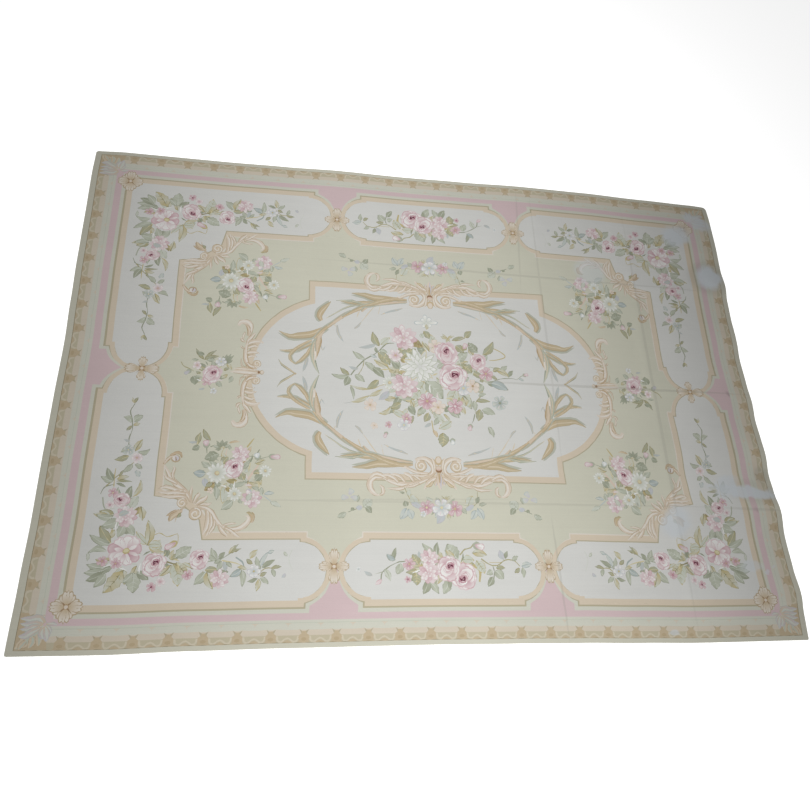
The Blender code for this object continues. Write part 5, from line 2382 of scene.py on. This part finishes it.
@dataclass(frozen=True)
class WoolFinish:
    """The look of the stitched wool.

    Attributes:
        stitch: Size of one stitch in metres.
        stitch_relief: Height of the stitches in metres.
        pucker: Height of the soft waves that the stitching pulls into the cloth, in metres.
        streaks: Strength of the level streaks of the wool's dye lots.
        mottle: Strength of the broad uneven fading.
        roughness: Roughness on the crown of a stitch.
        shine: Strength of the mirror-like reflection.
        sheen: Strength of the soft sheen of loose fibres.
    """

    stitch: float = 0.0026
    stitch_relief: float = 0.0005
    pucker: float = 0.0022
    streaks: float = 0.055
    mottle: float = 0.05
    roughness: float = 0.86
    shine: float = 0.15
    sheen: float = 0.06

    # Linear colours of the washed patches, and of the painted shade along the folds and the dirt around the
    # patches
    WASHED = (0.62, 0.66, 0.69, 1)
    SHADE_AND_DIRT_COLOUR = (0.34, 0.33, 0.28, 1)

    # Pale washed-out patches: x, y, radius along, radius across, turn in degrees, strength
    PATCHES = (
        (1.83, 1.22, 0.115, 0.090, 20, 0.82),
        (2.03, 1.36, 0.115, 0.060, -35, 0.70),
        (2.02, 0.885, 0.095, 0.095, 0, 0.92),
        (1.13, 0.865, 0.110, 0.105, 0, 0.50),
        (1.92, -0.665, 0.245, 0.042, -6, 0.85),
        (1.80, -0.640, 0.100, 0.070, 30, 0.66),
        (1.42, -0.860, 0.110, 0.085, 40, 0.70),
        (1.85, -1.120, 0.080, 0.034, 0, 0.50),
        (1.95, -1.155, 0.014, 0.014, 0, 0.60),
        (2.00, -1.130, 0.012, 0.012, 0, 0.55),
        (1.28, -1.485, 0.034, 0.014, 0, 0.60),
    )

    # Painted shade along the folds, and dirt around the patches, in the same form
    FOLD_SHADE_AND_DIRT = (
        (0.65, 0.789, 1.35, 0.008, -0.7, 0.24),
        (1.18, -0.003, 0.93, 0.009, -0.2, 0.30),
        (0.28, -0.763, 1.48, 0.007, -0.1, 0.19),
        (0.636, 1.10, 0.40, 0.007, 87, 0.20),
        (0.658, -1.18, 0.33, 0.007, -88, 0.26),
        (0.752, 0.45, 1.00, 0.008, 90, 0.18),
        (1.436, -0.09, 1.39, 0.011, 90, 0.20),
        (-0.20, -0.748, 0.60, 0.006, 1, 0.18),
        (2.02, 0.885, 0.155, 0.140, 0, 0.34),
        (2.06, -0.56, 0.050, 0.060, 0, 0.32),
        (1.96, -0.775, 0.190, 0.009, -2, 0.20),
        (1.98, -0.665, 0.220, 0.080, -6, 0.16),
    )

    def material(self) -> bpy.types.Material:
        """Make the wool material, which reads the yarn colours of the sheet.

        Returns:
            The material.
        """
        material = bpy.data.materials.new("stitched_wool")
        material.use_nodes = True
        tree = material.node_tree
        shader = tree.nodes["Principled BSDF"]
        yarn = tree.nodes.new("ShaderNodeAttribute")
        yarn.attribute_name = "yarn"
        fading = group_node(tree, dye_lots(), Streaks=self.streaks, Mottle=self.mottle)
        wash = group_node(tree, soft_spots("Washed patches", self.PATCHES, self.WASHED, 0.07))
        # Painted shade: darker lines along the folds; the last rows are dirt around the patches
        fold_shade_and_dirt = group_node(tree, soft_spots("Fold_shade_and_dirt", self.FOLD_SHADE_AND_DIRT, self.SHADE_AND_DIRT_COLOUR, 0.006))
        stitches = group_node(tree, tent_stitches(), Size=self.stitch, Roughness=self.roughness)
        tree.links.new(yarn.outputs["Color"], fading.inputs["Color"])
        tree.links.new(fading.outputs["Color"], fold_shade_and_dirt.inputs["Color"])
        tree.links.new(fold_shade_and_dirt.outputs["Color"], wash.inputs["Color"])
        tree.links.new(wash.outputs["Color"], stitches.inputs["Color"])
        tree.links.new(stitches.outputs["Color"], shader.inputs["Base Color"])
        relief = tree.nodes.new("ShaderNodeBump")
        relief.inputs["Strength"].default_value = 0.5
        relief.inputs["Distance"].default_value = self.stitch_relief
        waves = tree.nodes.new("ShaderNodeBump")
        waves.inputs["Strength"].default_value = 1.0
        waves.inputs["Distance"].default_value = self.pucker
        tree.links.new(fading.outputs["Waves"], waves.inputs["Height"])
        tree.links.new(waves.outputs["Normal"], relief.inputs["Normal"])
        tree.links.new(stitches.outputs["Height"], relief.inputs["Height"])
        tree.links.new(relief.outputs["Normal"], shader.inputs["Normal"])
        tree.links.new(stitches.outputs["Roughness"], shader.inputs["Roughness"])
        shader.inputs["Specular IOR Level"].default_value = self.shine
        shader.inputs["Sheen Weight"].default_value = self.sheen
        shader.inputs["Sheen Roughness"].default_value = 0.6
        return material


# Start value of every colour input
MID_GREY = (0.6, 0.6, 0.6, 1)


def new_group(
    name: str, inputs: dict[str, tuple[str, object]], outputs: dict[str, str]
) -> bpy.types.NodeTree:
    """Make an empty shader node group.

    Args:
        name: The group's name.
        inputs: For each input, its socket type and start value.
        outputs: For each output, its socket type.

    Returns:
        The group, with its input and output nodes named "in" and "out".
    """
    group = bpy.data.node_groups.new(name, "ShaderNodeTree")
    for label, (kind, value) in inputs.items():
        socket = group.interface.new_socket(label, in_out="INPUT", socket_type=kind)
        socket.default_value = value
    for label, kind in outputs.items():
        group.interface.new_socket(label, in_out="OUTPUT", socket_type=kind)
    group.nodes.new("NodeGroupInput").name = "in"
    group.nodes.new("NodeGroupOutput").name = "out"
    return group


def group_node(tree: bpy.types.NodeTree, group: bpy.types.NodeTree, **values: float) -> bpy.types.Node:
    """Place a node group in a tree with its own values.

    Args:
        tree: The tree.
        group: The group.
        values: The values of its inputs, by name.

    Returns:
        The node.
    """
    node = tree.nodes.new("ShaderNodeGroup")
    node.node_tree = group
    for label, value in values.items():
        node.inputs[label].default_value = value
    return node


@dataclass
class Wiring:
    """Shorthand for the nodes of one group.

    Attributes:
        tree: The group.
    """

    tree: bpy.types.NodeTree

    def add(self, kind: str, *sources: object, **settings: object) -> bpy.types.Node:
        """Add a node, set its properties, and feed its inputs in order with sockets or plain values.

        Args:
            kind: Node type without its common start.
            sources: A socket, a value, or None to leave an input alone.
            settings: Properties of the node.

        Returns:
            The node.
        """
        node = self.tree.nodes.new(f"ShaderNode{kind}")
        for name, value in settings.items():
            setattr(node, name, value)
        for socket, source in zip(node.inputs, sources):
            if isinstance(source, bpy.types.NodeSocket):
                self.tree.links.new(source, socket)
            elif source is not None:
                socket.default_value = source
        return node

    def maths(self, operation: str, *sources: object) -> bpy.types.NodeSocket:
        """Add a Math node and give its output."""
        return self.add("Math", *sources, operation=operation).outputs[0]

    def vectors(self, operation: str, *sources: object) -> bpy.types.NodeSocket:
        """Add a Vector Math node and give its vector output."""
        return self.add("VectorMath", *sources, operation=operation).outputs[0]

    def place(self, scale: tuple[float, float, float] = (1, 1, 1)) -> bpy.types.NodeSocket:
        """Give the object's own coordinates, scaled.

        Args:
            scale: Their stretch along x, y and z.

        Returns:
            Their socket.
        """
        coordinates = self.add("TexCoord").outputs["Object"]
        mapping = self.add("Mapping", coordinates)
        mapping.inputs["Scale"].default_value = scale
        return mapping.outputs[0]

    def noise(
        self, scale: tuple[float, float, float], size: float, detail: float = 2.0
    ) -> bpy.types.NodeSocket:
        """Give noise from 0 to 1 over the object's own coordinates.

        Args:
            scale: Stretch of the coordinates along x, y and z.
            size: Fineness of the noise.
            detail: Its detail.

        Returns:
            The noise's socket.
        """
        node = self.add("TexNoise")
        self.tree.links.new(self.place(scale), node.inputs["Vector"])
        node.inputs["Scale"].default_value = size
        node.inputs["Detail"].default_value = detail
        return node.outputs["Fac"]

    def tinted(self, colour: bpy.types.NodeSocket, gain: bpy.types.NodeSocket) -> bpy.types.NodeSocket:
        """Multiply a colour by a value.

        Args:
            colour: The colour's socket.
            gain: The value's socket.

        Returns:
            The new colour's socket.
        """
        node = self.add("VectorMath", colour, operation="SCALE")
        self.tree.links.new(gain, node.inputs["Scale"])
        return node.outputs[0]


def dye_lots() -> bpy.types.NodeTree:
    """Make the group of the uneven dye: level streaks, broad mottling and the cloth's soft waves.

    Returns:
        The group.
    """
    group = new_group(
        "Dye lots",
        {
            "Color": ("NodeSocketColor", MID_GREY),
            "Streaks": ("NodeSocketFloat", 0.05),
            "Mottle": ("NodeSocketFloat", 0.05),
        },
        {"Color": "NodeSocketColor", "Waves": "NodeSocketFloat"},
    )
    wiring = Wiring(group)
    source = group.nodes["in"]
    fine = wiring.noise((1.6, 150.0, 1.0), 1.0, 3.0)
    coarse = wiring.noise((0.8, 26.0, 1.0), 1.0, 2.0)
    fine_part = wiring.maths("MULTIPLY", fine, 0.65)
    both = wiring.maths("ADD", fine_part, wiring.maths("MULTIPLY", coarse, 0.35))
    streak = wiring.maths("MULTIPLY", wiring.maths("SUBTRACT", both, 0.5), source.outputs["Streaks"])
    broad = wiring.noise((1.0, 1.0, 1.0), 2.6, 3.0)
    mottle = wiring.maths("MULTIPLY", wiring.maths("SUBTRACT", broad, 0.5), source.outputs["Mottle"])
    gain = wiring.maths("ADD", wiring.maths("MULTIPLY", wiring.maths("ADD", streak, mottle), 2.0), 1.0)
    group.links.new(wiring.tinted(source.outputs["Color"], gain), group.nodes["out"].inputs["Color"])
    waves = wiring.noise((1.0, 1.6, 1.0), 7.0, 2.0)
    group.links.new(waves, group.nodes["out"].inputs["Waves"])
    return group


# Where a soft spot ends and where it is full, as shares of its radius
SPOT_EDGE = (1.25, 0.65)


def soft_spots(
    name: str, spots: Sequence[tuple[float, ...]], tint: tuple[float, ...], wobble_size: float
) -> bpy.types.NodeTree:
    """Make a group that tints the colour in soft uneven spots.

    Args:
        name: The group's name.
        spots: Rows of x, y, radius along, radius across, turn in degrees and strength.
        tint: Linear colour of the spots.
        wobble_size: How far their edges wander, in metres.

    Returns:
        The group.
    """
    group = new_group(name, {"Color": ("NodeSocketColor", MID_GREY)}, {"Color": "NodeSocketColor"})
    wiring = Wiring(group)
    colour = group.nodes["in"].outputs["Color"]
    coordinates = wiring.add("TexCoord").outputs["Object"]
    wobble = wiring.add("TexNoise", coordinates)
    wobble.inputs["Scale"].default_value = 14.0
    shift = wiring.vectors("SUBTRACT", wobble.outputs["Color"], (0.5, 0.5, 0.5))
    shift = wiring.vectors("MULTIPLY", shift, (wobble_size, wobble_size, 0.0))
    place = wiring.vectors("ADD", coordinates, shift)
    mask = None
    for x, y, along, across, turn, strength in spots:
        mapping = wiring.add("Mapping", place, vector_type="TEXTURE")
        mapping.inputs["Location"].default_value = (x, y, 0)
        mapping.inputs["Rotation"].default_value = (0, 0, math.radians(turn))
        mapping.inputs["Scale"].default_value = (along, across, 1)
        reach = wiring.add("VectorMath", mapping.outputs[0], operation="LENGTH").outputs["Value"]
        edge = wiring.add("MapRange", reach, *SPOT_EDGE, 0.0, strength, interpolation_type="SMOOTHSTEP")
        spot = edge.outputs[0]
        mask = spot if mask is None else wiring.maths("MAXIMUM", mask, spot)
    pale = wiring.add("Mix", data_type="RGBA")
    group.links.new(mask, pale.inputs["Factor"])
    group.links.new(colour, pale.inputs["A"])
    pale.inputs["B"].default_value = tint
    group.links.new(pale.outputs["Result"], group.nodes["out"].inputs["Color"])
    return group


def tent_stitches() -> bpy.types.NodeTree:
    """Make the group of the stitches: slanting dots in level rows, with painted shade darkening the gaps
    between them.

    Returns:
        The group.
    """
    group = new_group(
        "Tent stitches",
        {
            "Color": ("NodeSocketColor", MID_GREY),
            "Size": ("NodeSocketFloat", 0.0026),
            "Roughness": ("NodeSocketFloat", 0.86),
        },
        {"Color": "NodeSocketColor", "Height": "NodeSocketFloat", "Roughness": "NodeSocketFloat"},
    )
    wiring = Wiring(group)
    source = group.nodes["in"]
    parts = wiring.add("SeparateXYZ", wiring.add("TexCoord").outputs["Object"])
    across = wiring.maths("DIVIDE", parts.outputs[0], source.outputs["Size"])
    up = wiring.maths("DIVIDE", parts.outputs[1], source.outputs["Size"])
    slant = wiring.maths("ADD", across, wiring.maths("MULTIPLY", up, 0.5))
    row = wiring.maths("ABSOLUTE", wiring.maths("SINE", wiring.maths("MULTIPLY", up, math.pi)))
    dot = wiring.maths("ABSOLUTE", wiring.maths("SINE", wiring.maths("MULTIPLY", slant, math.pi)))
    height = wiring.maths("SQRT", wiring.maths("MULTIPLY", row, dot))
    group.links.new(height, group.nodes["out"].inputs["Height"])
    fuzz = wiring.noise((1.0, 1.0, 1.0), 320.0, 1.0)
    # Painted shade: the colour is darker in the gaps between the stitches, with some random fuzz
    gain = wiring.maths("ADD", wiring.maths("MULTIPLY", height, 0.10), 0.94)
    gain = wiring.maths("ADD", gain, wiring.maths("MULTIPLY", wiring.maths("SUBTRACT", fuzz, 0.5), 0.10))
    group.links.new(wiring.tinted(source.outputs["Color"], gain), group.nodes["out"].inputs["Color"])
    dull = wiring.maths("MULTIPLY", wiring.maths("SUBTRACT", 1.0, height), 0.08)
    dull = wiring.maths("ADD", dull, wiring.maths("MULTIPLY", fuzz, 0.06))
    dull = wiring.maths("ADD", dull, source.outputs["Roughness"])
    group.links.new(dull, group.nodes["out"].inputs["Roughness"])
    return group


# The studio


@dataclass
class Studio:
    """The pale floor, the soft light and the camera.

    Attributes:
        key_lights: For each soft light, where it hangs and its power in watts.
        light_size: Side of each square light.
        fill: Strength of the light from all around.
        floor_reach: How far the floor reaches each way.
        floor_grey: Share of the light that the floor gives back.
        floor_glow: Strength of its own glow.
        camera_place: Where the camera is.
        camera_turn: Its turn about x, y and z in degrees.
        lens: Its focal length on a 36 mm wide frame.
    """

    key_lights: tuple[tuple[tuple[float, float, float], float], ...] = (
        ((-0.08, -1.93, 2.88), 73.5),
        ((-0.37, 1.21, 3.03), 59.5),
    )
    light_size: float = 0.9
    fill: float = 0.03
    floor_reach: float = 30
    floor_grey: float = 0.94
    floor_glow: float = 0.8
    camera_place: tuple[float, float, float] = (-0.8847, -1.7430, 3.7053)
    camera_turn: tuple[float, float, float] = (22.9468, -9.9214, -1.8149)
    lens: float = 30.687

    def build(self) -> None:
        """Make the floor, the lights, the surroundings and the camera."""
        self.floor()
        self.lights()
        self.camera()
        bpy.context.scene.view_settings.view_transform = "Standard"

    def floor(self) -> None:
        """Make the white floor, with a glow of its own that keeps it pale away from the lights."""
        mesh = bpy.data.meshes.new("floor")
        bm = bmesh.new()
        bmesh.ops.create_grid(bm, x_segments=1, y_segments=1, size=self.floor_reach)
        bm.to_mesh(mesh)
        bm.free()
        floor = bpy.data.objects.new("floor", mesh)
        bpy.context.scene.collection.objects.link(floor)
        material = bpy.data.materials.new("pale_floor")
        material.use_nodes = True
        shader = material.node_tree.nodes["Principled BSDF"]
        shader.inputs["Base Color"].default_value = (*[self.floor_grey] * 3, 1)
        shader.inputs["Roughness"].default_value = 0.9
        shader.inputs["Specular IOR Level"].default_value = 0.0
        shader.inputs["Emission Color"].default_value = (1, 1, 1, 1)
        shader.inputs["Emission Strength"].default_value = self.floor_glow
        mesh.materials.append(material)

    def lights(self) -> None:
        """Make the soft lights over both long sides and the even fill."""
        for place, power in self.key_lights:
            lamp = bpy.data.lights.new("soft_light", "AREA")
            lamp.size = self.light_size
            lamp.energy = power
            light = bpy.data.objects.new("soft_light", lamp)
            light.location = place
            bpy.context.scene.collection.objects.link(light)
        world = bpy.data.worlds.new("surroundings")
        world.use_nodes = True
        sky = world.node_tree.nodes["Background"]
        sky.inputs["Color"].default_value = (1.0, 1.0, 1.0, 1)
        sky.inputs["Strength"].default_value = self.fill
        bpy.context.scene.world = world

    def camera(self) -> None:
        """Make the camera at the photograph's angle."""
        data = bpy.data.cameras.new("camera")
        data.lens = self.lens
        data.sensor_width = 36.0
        camera = bpy.data.objects.new("camera", data)
        camera.location = self.camera_place
        camera.rotation_euler = [math.radians(angle) for angle in self.camera_turn]
        bpy.context.scene.collection.objects.link(camera)
        bpy.context.scene.camera = camera


def main() -> None:
    """Work the design, build the rug and set it on the floor."""
    logging.basicConfig(level=logging.INFO, format="%(message)s")
    chart = Chart()
    for section in (
        Border(chart),
        Panels(chart),
        Medallion(chart),
        CornerScrolls(chart),
        Rosettes(chart),
        CornerGarlands(chart),
        FieldBouquets(chart),
        FieldGarlands(chart),
        SideSprays(chart),
        OblongBouquets(chart),
        CentralBouquet(chart),
    ):
        section.work()
        LOG.info("%s: %d areas so far", type(section).__name__, len(chart.patches))
    rug = RugSheet(chart).build()
    rug.data.materials.append(WoolFinish().material())
    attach(rug, "root")
    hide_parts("rug")
    LOG.info("%s: %d faces", rug.name, len(rug.data.polygons))
    Studio().build()
    LOG.info("floor, lights, surroundings and camera")


if __name__ == "__main__":
    main()
